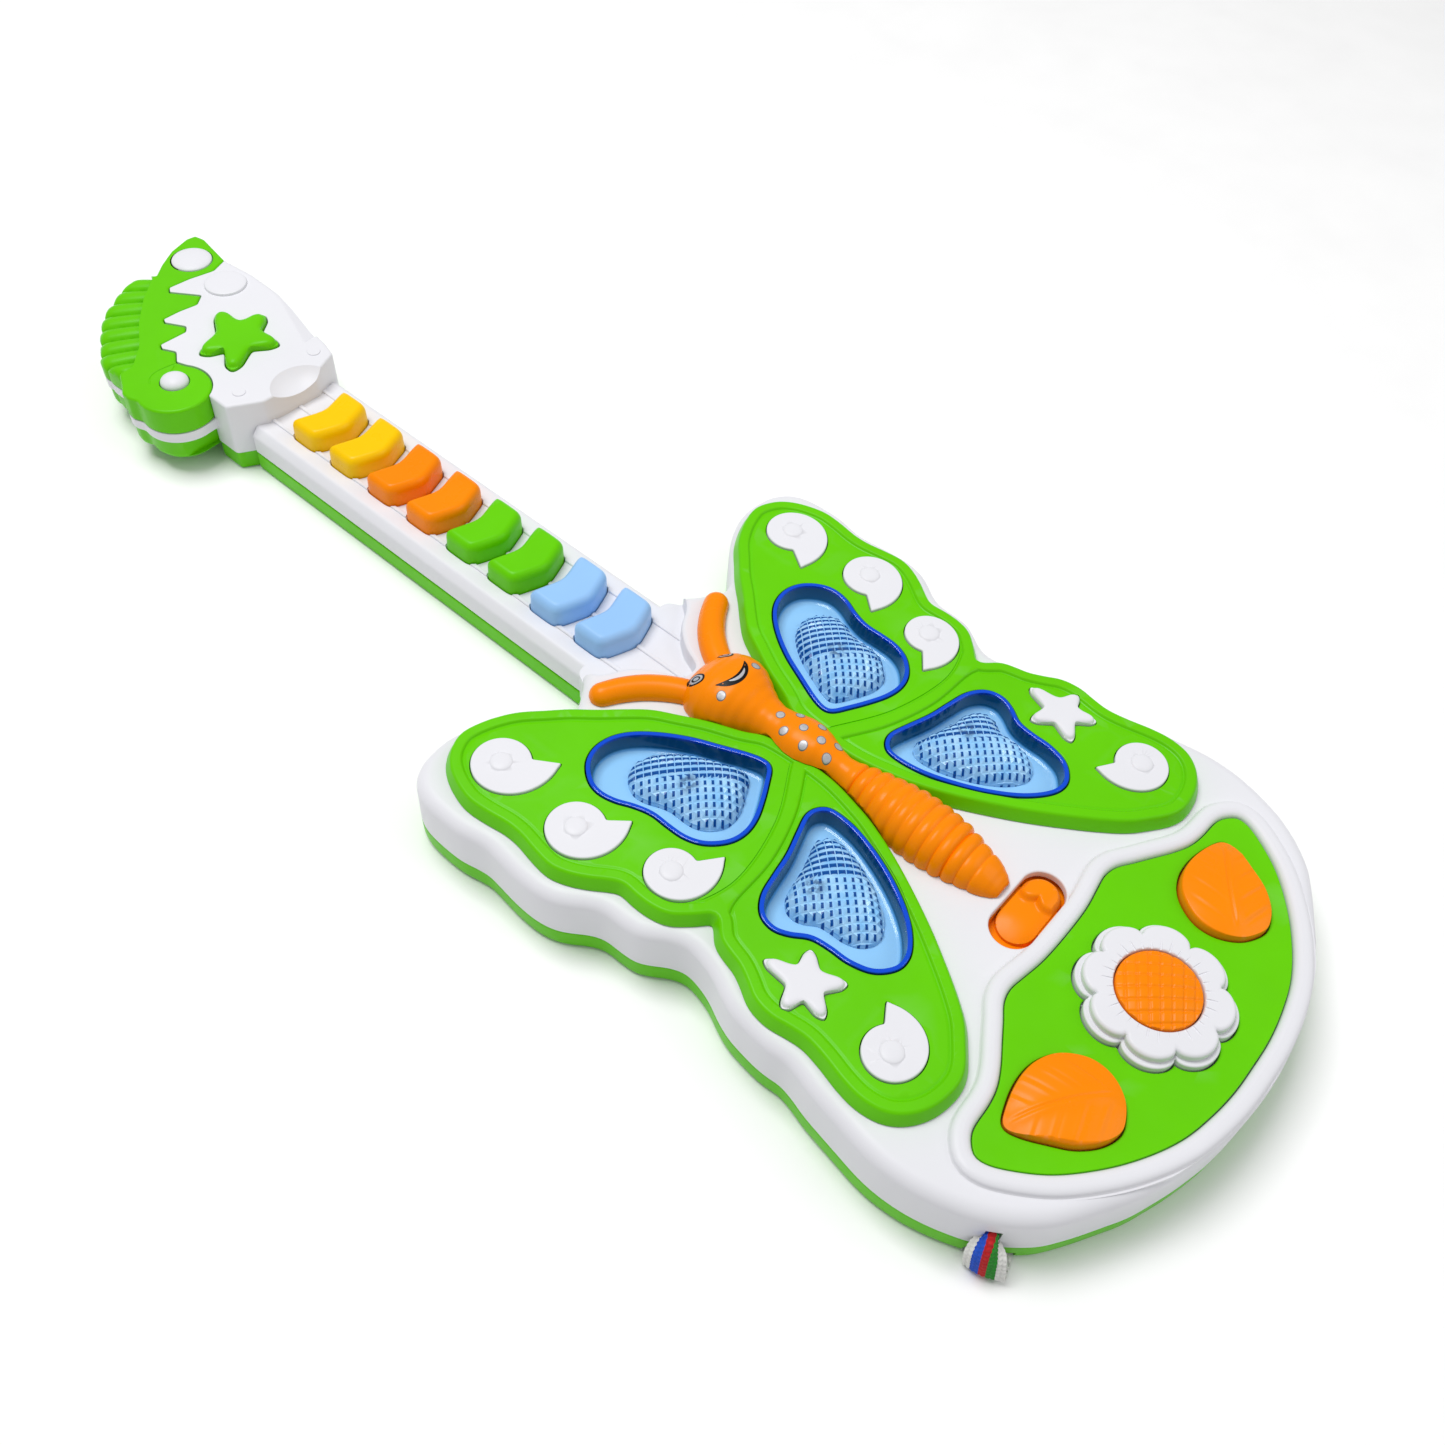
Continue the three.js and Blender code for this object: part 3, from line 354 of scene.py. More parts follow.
def fluted(loop):
    """The outline with the ends of the mane's flutes as lobes."""
    away = loop - FAN
    turn = np.degrees(np.arctan2(away[:, 1], away[:, 0]))
    reach = np.linalg.norm(away, axis=1)
    first, last = FLUTED_TURNS
    fade = np.clip((turn - first) / 1.5, 0, 1) * np.clip((last - turn) / 1.5, 0, 1)
    depth = fade * np.clip((reach - FLUTED_REACH) / 3, 0, 1) * (1 - flute_roll(loop[:, 0], loop[:, 1]))
    return loop - away / reach[:, None] * depth[:, None]


def scroll_arc(start, sweep, count):
    x, y, radius = SCROLL
    return polar(x, y, start, sweep, count, lambda turn: radius)


HEAD_SILHOUETTE = fluted(softened([
    [-21.5, 145], [21, 145], [22.5, 152], [25.5, 165], [27.5, 176], [27.9, 190], [26.5, 203],
    *HEAD_LEFT, *scroll_arc(165, 125, 16),
], 0.7, 0.6))

CAP = fluted(softened([
    [26.1, 203], *HEAD_LEFT, *scroll_arc(165, 240, 24),
    [-19.8, 167], [-16.7, 171.5], [-19, 176], [-18, 178.2], [-8.1, 178.2], [-6.3, 180.5],
    [-10, 187], [-9.2, 189], [-2.7, 189], [3.6, 188.1], [7.7, 191.3], [1.2, 200.2], [2.7, 202.5],
    [10.8, 202], [19.4, 200.3],
], 0.4, 0.45))

MANE = [
    [6, 226], [2.2, 210.8], [-6.9, 203], [-16, 192.6], [-23.6, 181.5], [-31, 174.4], [-46, 173.4],
    [-46, 226],
]

HEAD_PLATE = softened([
    [-22.5, 147], [-22.5, 137.3], [-12.2, 131.4], [8, 131], [18.9, 135.5], [20.7, 141.8], [22.5, 152],
    [25.5, 165], [27.5, 176], [27.9, 190], [26.5, 203], [12, 206], [-2, 204], [-14, 190], [-23, 177],
    [-23, 168.5], [-20, 162], [-19, 150.5],
], 0.9, 0.7)

NUT = softened([
    [-22.5, NUT_END], [-22.5, 137.3], [-12.2, 131.4], [8, 131], [18.9, 135.5], [20.7, 141.8],
    [21.6, NUT_END],
], 0.5, 0.7)

POWER_SLOT = (0, -154, 13, 6)  # centre, half length, radius of its ends
DOT_LARGE = (18, 210.6, 6.9)
DOT_SMALL = (-26.1, 158.9, 4.5)
PLATE_DISC = (17.6, 190.8)
DIMPLES = ((-15, 140.4), (15, 140.4))

# ---- Solids -------------------------------------------------------------------------------------------


def made(vertices, faces, name="solid"):
    """A mesh object from vertices in millimetres."""
    mesh = bpy.data.meshes.new(name)
    mesh.from_pydata([tuple(v) for v in np.asarray(vertices, float) * MM], [], faces)
    mesh.validate()
    piece = bpy.data.objects.new(name, mesh)
    bpy.context.scene.collection.objects.link(piece)
    return piece


def at_height(loop, z):
    return np.column_stack([loop, np.full(len(loop), float(z))])


def flat_cap(ring, spacing=4.0):
    """Extra points and triangles that fill a level ring evenly, or none where the ring can't be filled so."""
    nothing = np.empty((0, 3)), None
    if np.ptp(ring[:, 2]) >= 1e-9:
        return nothing
    loop = ring[:, :2]
    (x0, y0), (x1, y1) = loop.min(0), loop.max(0)
    columns, rows = np.meshgrid(np.arange(x0, x1, spacing), np.arange(y0, y1, spacing))
    grid = np.column_stack([columns.ravel(), rows.ravel()])
    grid = grid[inside(loop, grid)] if len(grid) else grid
    if len(grid):
        nearest = np.linalg.norm(grid[:, None] - loop[None], axis=2).min(axis=1)
        grid = grid[nearest > 0.3 * spacing]
    points = np.vstack([loop, grid])
    count = len(loop)
    edges = [(i, (i + 1) % count) for i in range(count)]
    out = delaunay_2d_cdt([Vector(p) for p in points], edges, [], 0, 1e-7)
    if len(out[0]) != len(points):
        return nothing
    triangles = np.array([list(f) for f in out[2]])
    triangles = triangles[inside(loop, points[triangles].mean(axis=1))]
    if len(triangles) != count - 2 + 2 * len(grid):
        return nothing
    return at_height(grid, ring[0, 2]), triangles


def stacked(rings):
    """A closed body from rings of equal count, each anticlockwise seen from the last one."""
    count = len(rings[0])
    faces = []
    for r in range(len(rings) - 1):
        a, b = r * count, (r + 1) * count
        for i in range(count):
            j = (i + 1) % count
            faces.append([a + i, a + j, b + j, b + i])
    vertices = list(rings)
    total = len(rings) * count
    for ring, start, flip in ((rings[0], 0, True), (rings[-1], total - count, False)):
        extra, triangles = flat_cap(ring)
        if triangles is None:
            cap = [[start + i for i in range(count)]]
        else:
            place = np.concatenate([np.arange(count) + start, np.arange(len(extra)) + total])
            cap = place[triangles].tolist()
            vertices.append(extra)
            total += len(extra)
        faces += [face[::-1] for face in cap] if flip else cap
    return made(np.vstack(vertices), faces)


def lofted(loop, profile):
    """A closed body of the outline, with (growth, height) pairs from its underside to its top."""
    return stacked([at_height(grown(loop, g), z) for g, z in profile])


def quarter(out, z, width, rise, degrees):
    """Profile points on an ellipse about (out, z), at the given angles up from level."""
    return [(out + width * math.cos(a), z + rise * math.sin(a)) for a in np.radians(degrees)]


def rounded(z0, z1, top=0.0, bottom=0.0, draft=0.0, steps=5):
    """The profile of a slab with rounded edges, wider at its foot by the draft."""
    profile = []
    for i in range(steps + 1 if bottom else 1):
        a = math.radians(90 * i / steps)
        profile.append((-bottom + bottom * math.sin(a), z0 + bottom - bottom * math.cos(a)))
    for i in range(steps + 1 if top else 1):
        a = math.radians(90 * i / steps)
        profile.append((-top + top * math.cos(a), z1 - top + top * math.sin(a)))
    return [(g + draft * (z1 - z) / (z1 - z0), z) for g, z in profile]


def hole(z0, z1, lip=0.4, steps=3):
    """The profile of a cutter whose mouth at z1 flares out, so that it leaves a rounded lip."""
    profile = [(0, z0)]
    for i in range(steps + 1):
        a = math.radians(90 * i / steps)
        profile.append((lip - lip * math.cos(a), z1 - lip + lip * math.sin(a)))
    return [*profile, (lip, z1 + 3)]


def block(x0, x1, y0, y1, z0, z1):
    return lofted(rectangle(x0, x1, y0, y1), [(0, z0), (0, z1)])


def turned(x, y, profile, count=48):
    """A turned piece on a vertical axis from (radius, height) pairs."""
    return stacked([at_height(circle(x, y, radius, count), z) for radius, z in profile])


def applied(piece, modifier_kind, **settings):
    modifier = piece.modifiers.new("step", modifier_kind)
    for key, value in settings.items():
        setattr(modifier, key, value)
    bpy.context.view_layer.update()
    graph = bpy.context.evaluated_depsgraph_get()
    mesh = bpy.data.meshes.new_from_object(piece.evaluated_get(graph))
    piece.modifiers.clear()
    old = piece.data
    piece.data = mesh
    bpy.data.meshes.remove(old)
    return piece


def boolean(piece, tool, operation):
    applied(piece, "BOOLEAN", operation=operation, solver="MANIFOLD", object=tool)
    bpy.data.objects.remove(tool)
    return piece


def joined(first, *others):
    for other in others:
        boolean(first, other, "UNION")
    return first


def cut(first, *tools):
    for tool in tools:
        boolean(first, tool, "DIFFERENCE")
    return first


def common(first, other):
    return boolean(first, other, "INTERSECT")


def gathered(pieces):
    """Pieces that don't touch, as one mesh object."""
    vertices, faces = [], []
    for piece in pieces:
        start = len(vertices)
        vertices += [tuple(v.co / MM) for v in piece.data.vertices]
        faces += [[start + i for i in face.vertices] for face in piece.data.polygons]
        bpy.data.objects.remove(piece)
    return made(vertices, faces)


def swept(path, radii, count):
    """A rounded bar along a path, with its own radius at each point and hemispherical ends."""
    path = np.asarray(path, float)
    radii = np.asarray(radii, float)
    tangents = np.gradient(path, axis=0)
    tangents /= np.linalg.norm(tangents, axis=1)[:, None]
    across = np.column_stack([-tangents[:, 1], tangents[:, 0], 0 * tangents[:, 0]])
    across /= np.linalg.norm(across, axis=1)[:, None]
    up = np.cross(tangents, across)
    angle = np.arange(count) * 2 * math.pi / count

    def ring(i, shift, scale):
        centre = path[i] + tangents[i] * shift
        r = radii[i] * scale
        return centre + np.outer(np.cos(angle) * r, across[i]) + np.outer(np.sin(angle) * r, up[i])

    ends = np.radians(range(15, 90, 15))
    start = [ring(0, -radii[0] * math.cos(a), math.sin(a)) for a in ends]
    finish = [ring(-1, radii[-1] * math.cos(a), math.sin(a)) for a in ends[::-1]]
    return stacked([*start, *[ring(i, 0, 1) for i in range(len(path))], *finish])


def open_curve(points, count=24):
    """Points along a smooth open curve through the given ones."""
    points = np.asarray(points, float)
    padded = np.vstack([2 * points[0] - points[1], points, 2 * points[-1] - points[-2]])
    at = np.linspace(0, len(points) - 1, count)
    out = []
    for t in at:
        i = min(int(t), len(points) - 2)
        out.append(between(*padded[i:i + 4], t - i))
    return np.array(out)


def rectangle_edge(columns, rows):
    """The indexes round the edge of a grid of points, anticlockwise."""
    return [*range(columns), *[r * columns + columns - 1 for r in range(1, rows)],
            *[(rows - 1) * columns + c for c in range(columns - 2, -1, -1)],
            *[r * columns for r in range(rows - 2, 0, -1)]]


def height_block(x0, x1, y0, y1, step, base, height_at):
    """A block with a flat underside whose top follows height_at(x, y)."""
    xs = np.linspace(x0, x1, int((x1 - x0) / step) + 1)
    ys = np.linspace(y0, y1, int((y1 - y0) / step) + 1)
    gx, gy = np.meshgrid(xs, ys)
    top = np.column_stack([gx.ravel(), gy.ravel(), height_at(gx, gy).ravel()])
    under = np.column_stack([gx.ravel(), gy.ravel(), np.full(gx.size, float(base))])
    cols, rows, n = len(xs), len(ys), gx.size
    faces = []
    for r in range(rows - 1):
        for c in range(cols - 1):
            a = r * cols + c
            faces.append([a, a + 1, a + cols + 1, a + cols])
            faces.append([n + a + cols, n + a + cols + 1, n + a + 1, n + a])
    edge = rectangle_edge(cols, rows)
    for i, a in enumerate(edge):
        b = edge[(i + 1) % len(edge)]
        faces.append([a, n + a, n + b, b])
    return made(np.vstack([top, under]), faces)


# ---- Materials ----------------------------------------------------------------------------------------


def srgb(red, green, blue):
    def linear(c):
        c /= 255
        return c / 12.92 if c <= 0.04045 else ((c + 0.055) / 1.055) ** 2.4
    return (linear(red), linear(green), linear(blue), 1.0)


class Nodes:
    """A short way to build a node tree."""

    def __init__(self, name):
        self.material = bpy.data.materials.new(name)
        self.material.use_nodes = True
        self.tree = self.material.node_tree
        self.shader = self.tree.nodes["Principled BSDF"]

    def add(self, kind, inputs=None, **settings):
        node = self.tree.nodes.new(kind)
        for key, value in settings.items():
            setattr(node, key, value)
        for key, value in (inputs or {}).items():
            if isinstance(value, bpy.types.NodeSocket):
                self.tree.links.new(value, node.inputs[key])
            else:
                node.inputs[key].default_value = value
        return node

    def place(self):
        return self.add("ShaderNodeTexCoord").outputs["Object"]

    def noise(self, scale, detail=3.0, roughness=0.55):
        inputs = {"Vector": self.place(), "Scale": scale, "Detail": detail, "Roughness": roughness}
        return self.add("ShaderNodeTexNoise", inputs).outputs["Fac"]

    def ramp(self, factor, *stops):
        node = self.add("ShaderNodeValToRGB", {"Fac": factor})
        elements = node.color_ramp.elements
        while len(elements) < len(stops):
            elements.new(1.0)
        for element, (position, colour) in zip(elements, stops):
            element.position = position
            element.color = colour
        return node.outputs["Color"]

    def mapped(self, value, low_in, high_in, low_out, high_out):
        inputs = {"Value": value, "From Min": low_in, "From Max": high_in,
                  "To Min": low_out, "To Max": high_out}
        return self.add("ShaderNodeMapRange", inputs).outputs["Result"]

    def mixed(self, factor, first, second):
        node = self.add("ShaderNodeMix", data_type="RGBA")
        for key, value in ((0, factor), (6, first), (7, second)):
            if isinstance(value, bpy.types.NodeSocket):
                self.tree.links.new(value, node.inputs[key])
            else:
                node.inputs[key].default_value = value
        return node.outputs[2]

    def bump(self, height, strength, distance):
        inputs = {"Height": height, "Strength": strength, "Distance": distance}
        return self.add("ShaderNodeBump", inputs).outputs["Normal"]


def scaled(colour, factor):
    return tuple(min(1.0, c * factor) for c in colour[:3]) + (1.0,)


def assign(n, colour, roughness, normal=None, **values):
    """Links or sets the shader's main sockets and returns the material."""
    main = {"Base Color": colour, "Roughness": roughness}
    if normal is not None:
        main["Normal"] = normal
    main.update({key.replace("_", " "): value for key, value in values.items()})
    for key, value in main.items():
        socket = n.shader.inputs[key]
        if isinstance(value, bpy.types.NodeSocket):
            n.tree.links.new(value, socket)
        else:
            socket.default_value = value
    return n.material


def plastic(name, colour, roughness=0.3, variation=0.04):
    """Glossy moulded plastic: faint cloudiness, moulding texture, and paler, duller edges from handling."""
    n = Nodes(name)
    clouds = n.noise(28, 4)
    base = n.ramp(clouds, (0.3, scaled(colour, 1 - variation)), (0.7, scaled(colour, 1 + variation)))
    edges = n.mapped(n.add("ShaderNodeNewGeometry").outputs["Pointiness"], 0.55, 0.64, 0.0, 0.14)
    worn = n.mixed(edges, base, scaled([0.8 * c + 0.2 for c in colour[:3]], 1.0))
    gloss = n.mapped(n.noise(160, 3), 0.3, 0.7, roughness - 0.03, roughness + 0.05)
    grain = n.bump(n.noise(1600, 2), 0.12, 0.00004)
    return assign(n, worn, gloss, grain, IOR=1.5, Specular_IOR_Level=0.15)


MATERIALS = {
    "white": plastic("white_plastic", srgb(229, 229, 234), 0.34, 0.012),
    "green": plastic("green_plastic", srgb(100, 203, 0), 0.33),
    "orange": plastic("orange_plastic", srgb(252, 137, 0), 0.27),
    "yellow": plastic("yellow_plastic", srgb(252, 201, 0), 0.28),
    "sky": plastic("sky_plastic", srgb(152, 198, 246), 0.3),
}


# ---- Camera -------------------------------------------------------------------------------------------


CAMERA_PLACE = Vector((-198.5, -201.6, 319.4)) * MM
CAMERA_AIM = Vector((6.35, -48.95, 0)) * MM
CAMERA_ROLL = math.radians(5.404)
CAMERA_LENS = 34.83


def camera():
    data = bpy.data.cameras.new("camera")
    data.sensor_width = 36
    data.lens = CAMERA_LENS
    data.clip_start = 0.01
    data.clip_end = 20
    eye = bpy.data.objects.new("camera", data)
    towards = (CAMERA_AIM - CAMERA_PLACE).to_track_quat("-Z", "Y").to_matrix()
    turn = towards @ Matrix.Rotation(CAMERA_ROLL, 3, "Z")
    eye.matrix_world = Matrix.Translation(CAMERA_PLACE) @ turn.to_4x4()
    bpy.context.scene.collection.objects.link(eye)
    bpy.context.scene.camera = eye


camera()

# ---- Finishing a piece --------------------------------------------------------------------------------


STRONG, WEAK = 16384, -16384  # a face's say in the shading of its corners: level faces stay level


def finished(piece, name, material, body="guitar", nodes=(), angle=32):
    """Names and shades a piece, says what it rides on, and hides the CAD parts it stands for."""
    mesh = bmesh.new()
    mesh.from_mesh(piece.data)
    bmesh.ops.triangulate(mesh, faces=[f for f in mesh.faces if len(f.verts) > 4])
    mesh.to_mesh(piece.data)
    mesh.free()
    piece.name = name
    piece.data.name = name
    piece.data.materials.clear()
    for entry in material if isinstance(material, (list, tuple)) else [material]:
        piece.data.materials.append(entry if isinstance(entry, bpy.types.Material) else MATERIALS[entry])
    piece.data.shade_smooth()
    piece.data.set_sharp_from_angle(angle=math.radians(angle))
    weigh = piece.modifiers.new("weighted_normals", "WEIGHTED_NORMAL")
    weigh.keep_sharp = True
    weigh.use_face_influence = True
    strength = piece.data.attributes.new("__mod_weightednormals_faceweight", "INT", "FACE")
    for entry, face in zip(strength.data, piece.data.polygons):
        entry.value = STRONG if abs(face.normal.z) > 0.9999 else WEAK
    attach(piece, body)
    if nodes:
        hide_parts(*nodes)
    return piece


def prism_along_y(section, y0, y1):
    """A section in the XZ plane, run along Y."""
    ring = anticlockwise(section)[::-1]
    stations = np.linspace(y0, y1, max(2, int((y1 - y0) / 4)))
    return stacked([np.column_stack([ring[:, 0], np.full(len(ring), y), ring[:, 1]]) for y in stations])


# ---- Front shell --------------------------------------------------------------------------------------

KEY_YS = [FIRST_KEY_Y + KEY_PITCH * i for i in range(len(KEY_COLOURS))]
RIB_XS = (-10.4, 0, 10.4)
RIB_FOOT = 15
SIDES = {"left": (-1, mirrored), "right": (1, np.asarray)}


def neck_section(inset, soften=0.0):
    half, land, top = NECK_HALF - inset, NECK_LAND_HALF - inset, NECK_TOP - inset
    bevel = NECK_BEVEL_Z - inset
    section = np.array([[-half, SEAM + GAP / 2], [half, SEAM + GAP / 2], [half, bevel], [land, top],
                        [-land, top], [-half, bevel]])
    return softened(section, soften, 0.5) if soften else section


def rounded_section(points, radius):
    """A section whose two lowest corners stay sharp, so that it meets the seam squarely."""
    soft = softened(points, radius, 0.4)
    soft[:, 1] = np.maximum(soft[:, 1], min(p[1] for p in points))
    return soft


SCOOP = (1.5, 128.5, 11.8, 16)  # the thumb scoop's ball: centre, its height above the plate, radius


def headstock_outside():
    seam = HEAD_SEAM + GAP / 2
    ledge = lofted(HEAD_SILHOUETTE, rounded(seam, HEAD_LEDGE, 0.35, 0.25))
    shoulders = rounded(HEAD_SEAM, HEAD_TOP + 0.01, 1.8, draft=0.5, steps=7)
    plate = common(lofted(HEAD_PLATE, rounded(seam, HEAD_TOP, 0.4)),
                   lofted(grown(HEAD_SILHOUETTE, 0.02), shoulders))
    disc_profile = [(7.2, -1), (7.2, 0.3), (6.95, 0.75), (6.4, 1.0), (5.2, 1.12), (2, 1.16)]
    disc = turned(*PLATE_DISC, [(radius, HEAD_TOP + z) for radius, z in disc_profile], 72)
    nut = lofted(NUT, rounded(SEAM + GAP / 2, HEAD_TOP - 0.03, 0.9, draft=0.3))
    dimples = [lofted(circle(x, y, 2.2, 32), rounded(HEAD_TOP - 1, HEAD_TOP + 0.3, 0.25)) for x, y in DIMPLES]
    x, y, rise, radius = SCOOP
    ball = quarter(0, HEAD_TOP + rise, radius, radius, np.arange(-85, 86, 5))
    scoop = turned(x, y, ball, 72)
    flank = made([
        [26.5, 176, HEAD_TOP], [14.5, 143.5, HEAD_TOP], [45, 143.5, HEAD_TOP - 13], [45, 176, HEAD_TOP - 9],
        [26.5, 176, ABOVE], [14.5, 143.5, ABOVE], [45, 143.5, ABOVE], [45, 176, ABOVE],
    ], [[3, 2, 1, 0], [4, 5, 6, 7], [0, 1, 5, 4], [1, 2, 6, 5], [2, 3, 7, 6], [3, 0, 4, 7]])
    cap_room = lofted(grown(CAP, GAP), hole(HEAD_LEDGE, HEAD_TOP, 0.2))
    return cut(joined(nut, cut(plate, flank), ledge, disc, *dimples), scoop, cap_room)


def front_shell():
    hollow = front_shell_hollow()
    shell = cut(front_shell_outside(), hollow, *front_shell_rooms(), strap_slot())
    finished(shell, "white_front_shell", "white", nodes=["front_shell"])


def front_shell_outside():
    side = [(-0.15, SEAM + GAP / 2), (0, SEAM + 0.3), (-0.1, DECK - 3.6)]
    body = lofted(BODY, side + quarter(-4, DECK - 3.6, 3.9, 3.6, np.arange(10, 91, 10)))
    foot = [(5.9, DECK - 3), (5.9, DECK), (5.45, DECK + 0.1), (5.2, DECK + 0.4)]
    ring = lofted(LEAF_PANEL, foot + quarter(3, DECK + 0.6, 2.1, 1.3, np.arange(0, 91, 15)))
    bead = common(ring, lofted(BODY, [(-0.6, DECK - 4), (-0.6, DECK + 0.5), (-1.5, DECK + 3)]))
    valley = lofted(VALLEY, [(-0.9, NECK_TOP), (-0.3, NECK_TOP + 0.2), (0, NECK_TOP + 0.8), (0, DECK - 1.3),
                             (0.3, DECK - 0.5), (0.9, DECK - 0.1), (1.6, DECK + 0.02), (1.6, DECK + 3)])
    neck = prism_along_y(rounded_section(neck_section(0), 0.45), NECK_START, NECK_END)
    rib = symmetric([[0.65, RIB_FOOT], [0.65, NECK_TOP + 0.4], [0.4, NECK_TOP + 0.6]])
    ribs = [prism_along_y(rib + [x, 0], NECK_START, NECK_END) for x in RIB_XS]
    return joined(cut(joined(body, bead), valley), neck, *ribs, headstock_outside())


def front_shell_hollow():
    under_deck = lofted(grown(BODY, -WALL), [(-1, 0), (-1, DECK - WALL)])
    valley_roof = lofted(grown(VALLEY, WALL), [(0, NECK_TOP - WALL), (0, DECK)])
    under_neck = prism_along_y(neck_section(WALL) - [0, 4], NECK_START - 8, NECK_END)
    under_neck_top = prism_along_y(neck_section(WALL), NECK_START - 8, NECK_END)
    under_nut = lofted(grown(NUT, -WALL), [(0, 0), (0, HEAD_TOP - WALL - 3)])
    passages = [block(-13, 13, NECK_END - 6, NECK_END + 6, 0, NECK_TOP - WALL),
                block(-13, 13, NUT_END - 4, NUT_END + 4, 0, HEAD_TOP - WALL - 3)]
    under_plate = cut(lofted(grown(HEAD_PLATE, -WALL - 2), [(0, HEAD_SEAM - 1), (0, HEAD_TOP - WALL)]),
                      block(-60, 60, 100, NUT_END + 4, 0, ABOVE))
    under_cap = lofted(grown(HEAD_SILHOUETTE, -WALL), [(0, HEAD_SEAM - 1), (0, HEAD_LEDGE - WALL)])
    return joined(cut(under_deck, valley_roof), under_neck, under_neck_top, under_nut, *passages,
                  under_plate, under_cap)


def front_shell_rooms():
    """The deck's and the neck's openings for the panel, the buttons, the keys and the lights."""
    panel_room = lofted(grown(LEAF_PANEL, GAP), [(0, PANEL_LOW - GAP), (0, DECK + 0.5), (0.4, DECK + 1.2),
                                                 (1.1, DECK + 1.75), (2.0, DECK + 1.89), (2.0, DECK + 4)])
    flower_room = lofted(grown(flower_outline(1), SLIDE_GAP), [(0, 0), (0, DECK + 3)])
    power_room = lofted(stadium(*POWER_SLOT), hole(0, DECK, 0.5))
    key_outline = grown(softened(KEY, 1.7, 0.5), SLIDE_GAP)
    key_rooms = [lofted(key_outline + [0, y], hole(0, NECK_TOP, 0.2)) for y in KEY_YS]
    star_room = lofted(grown(HEAD_STAR, SLIDE_GAP), hole(0, HEAD_TOP, 0.3))
    rooms = [gathered([flower_room, power_room, *key_rooms, star_room]), panel_room]
    for _, turn in SIDES.values():
        leaf_room = lofted(grown(turn(LEAF_BUTTON), SLIDE_GAP), [(0, 0), (0, DECK + 3)])
        windows = [lofted(grown(turn(outline), GAP), [(0, 0), (0, DECK + 3)])
                   for outline, *_ in LENSES.values()]
        rooms.append(gathered([leaf_room, *windows]))
    return rooms


# ---- Strap --------------------------------------------------------------------------------------------

# The strap's own frame: its origin on the side wall, +X outwards.
STRAP_PLACE = (-69.9, -192.6)
STRAP_TURN = 212.8


def in_strap_frame(points):
    points = np.atleast_2d(np.asarray(points, float))
    c, s = math.cos(math.radians(STRAP_TURN)), math.sin(math.radians(STRAP_TURN))
    x = STRAP_PLACE[0] + points[:, 0] * c - points[:, 1] * s
    y = STRAP_PLACE[1] + points[:, 0] * s + points[:, 1] * c
    return np.column_stack([x, y, points[:, 2]])


def slot_at_strap(y0, y1, z0, z1):
    """A cutter through the wall at the strap, between two places along the wall and two heights."""
    corners = in_strap_frame([[-12, y0, 0], [12, y0, 0], [12, y1, 0], [-12, y1, 0]])[:, :2]
    return lofted(anticlockwise(corners), [(0, z0), (0, z1)])


def strap_slot():
    return slot_at_strap(-1.9, 1.9, 10, 15.2)


STRAP_WIDTH = 10.2
STRAP_THICKNESS = 0.8

# The strap's middle line in its own frame, from the pin inside, out of the slot, down and back under the base.
STRAP_LINE = [
    [-7, 0, 14.3], [-3, 0, 14.35], [0, -0.1, 14.3], [2.2, -0.5, 13.5], [3.9, -0.8, 11], [4.7, -0.6, 7.5],
    [5.0, -0.2, 4], [4.8, 0.2, 1.7], [4.0, 0.6, 0.75], [2.2, 1.1, 0.8], [0, 1.5, 1.3], [-3, 1.5, 1.6],
    [-7, 1.3, 1.6],
]
# Where each stripe ends, as a share of the width.
STRIPES = [
    (0.2, "strap_white"), (0.41, "strap_blue"), (0.56, "strap_red"), (0.77, "strap_green"),
    (1.01, "strap_white"),
]
STRAP_CORDS = 9  # woven cords side by side
WEAVE_PITCH = 1.3
BUNCHED_RADIUS = 1.3  # of the strap's curl where it leaves the side slot


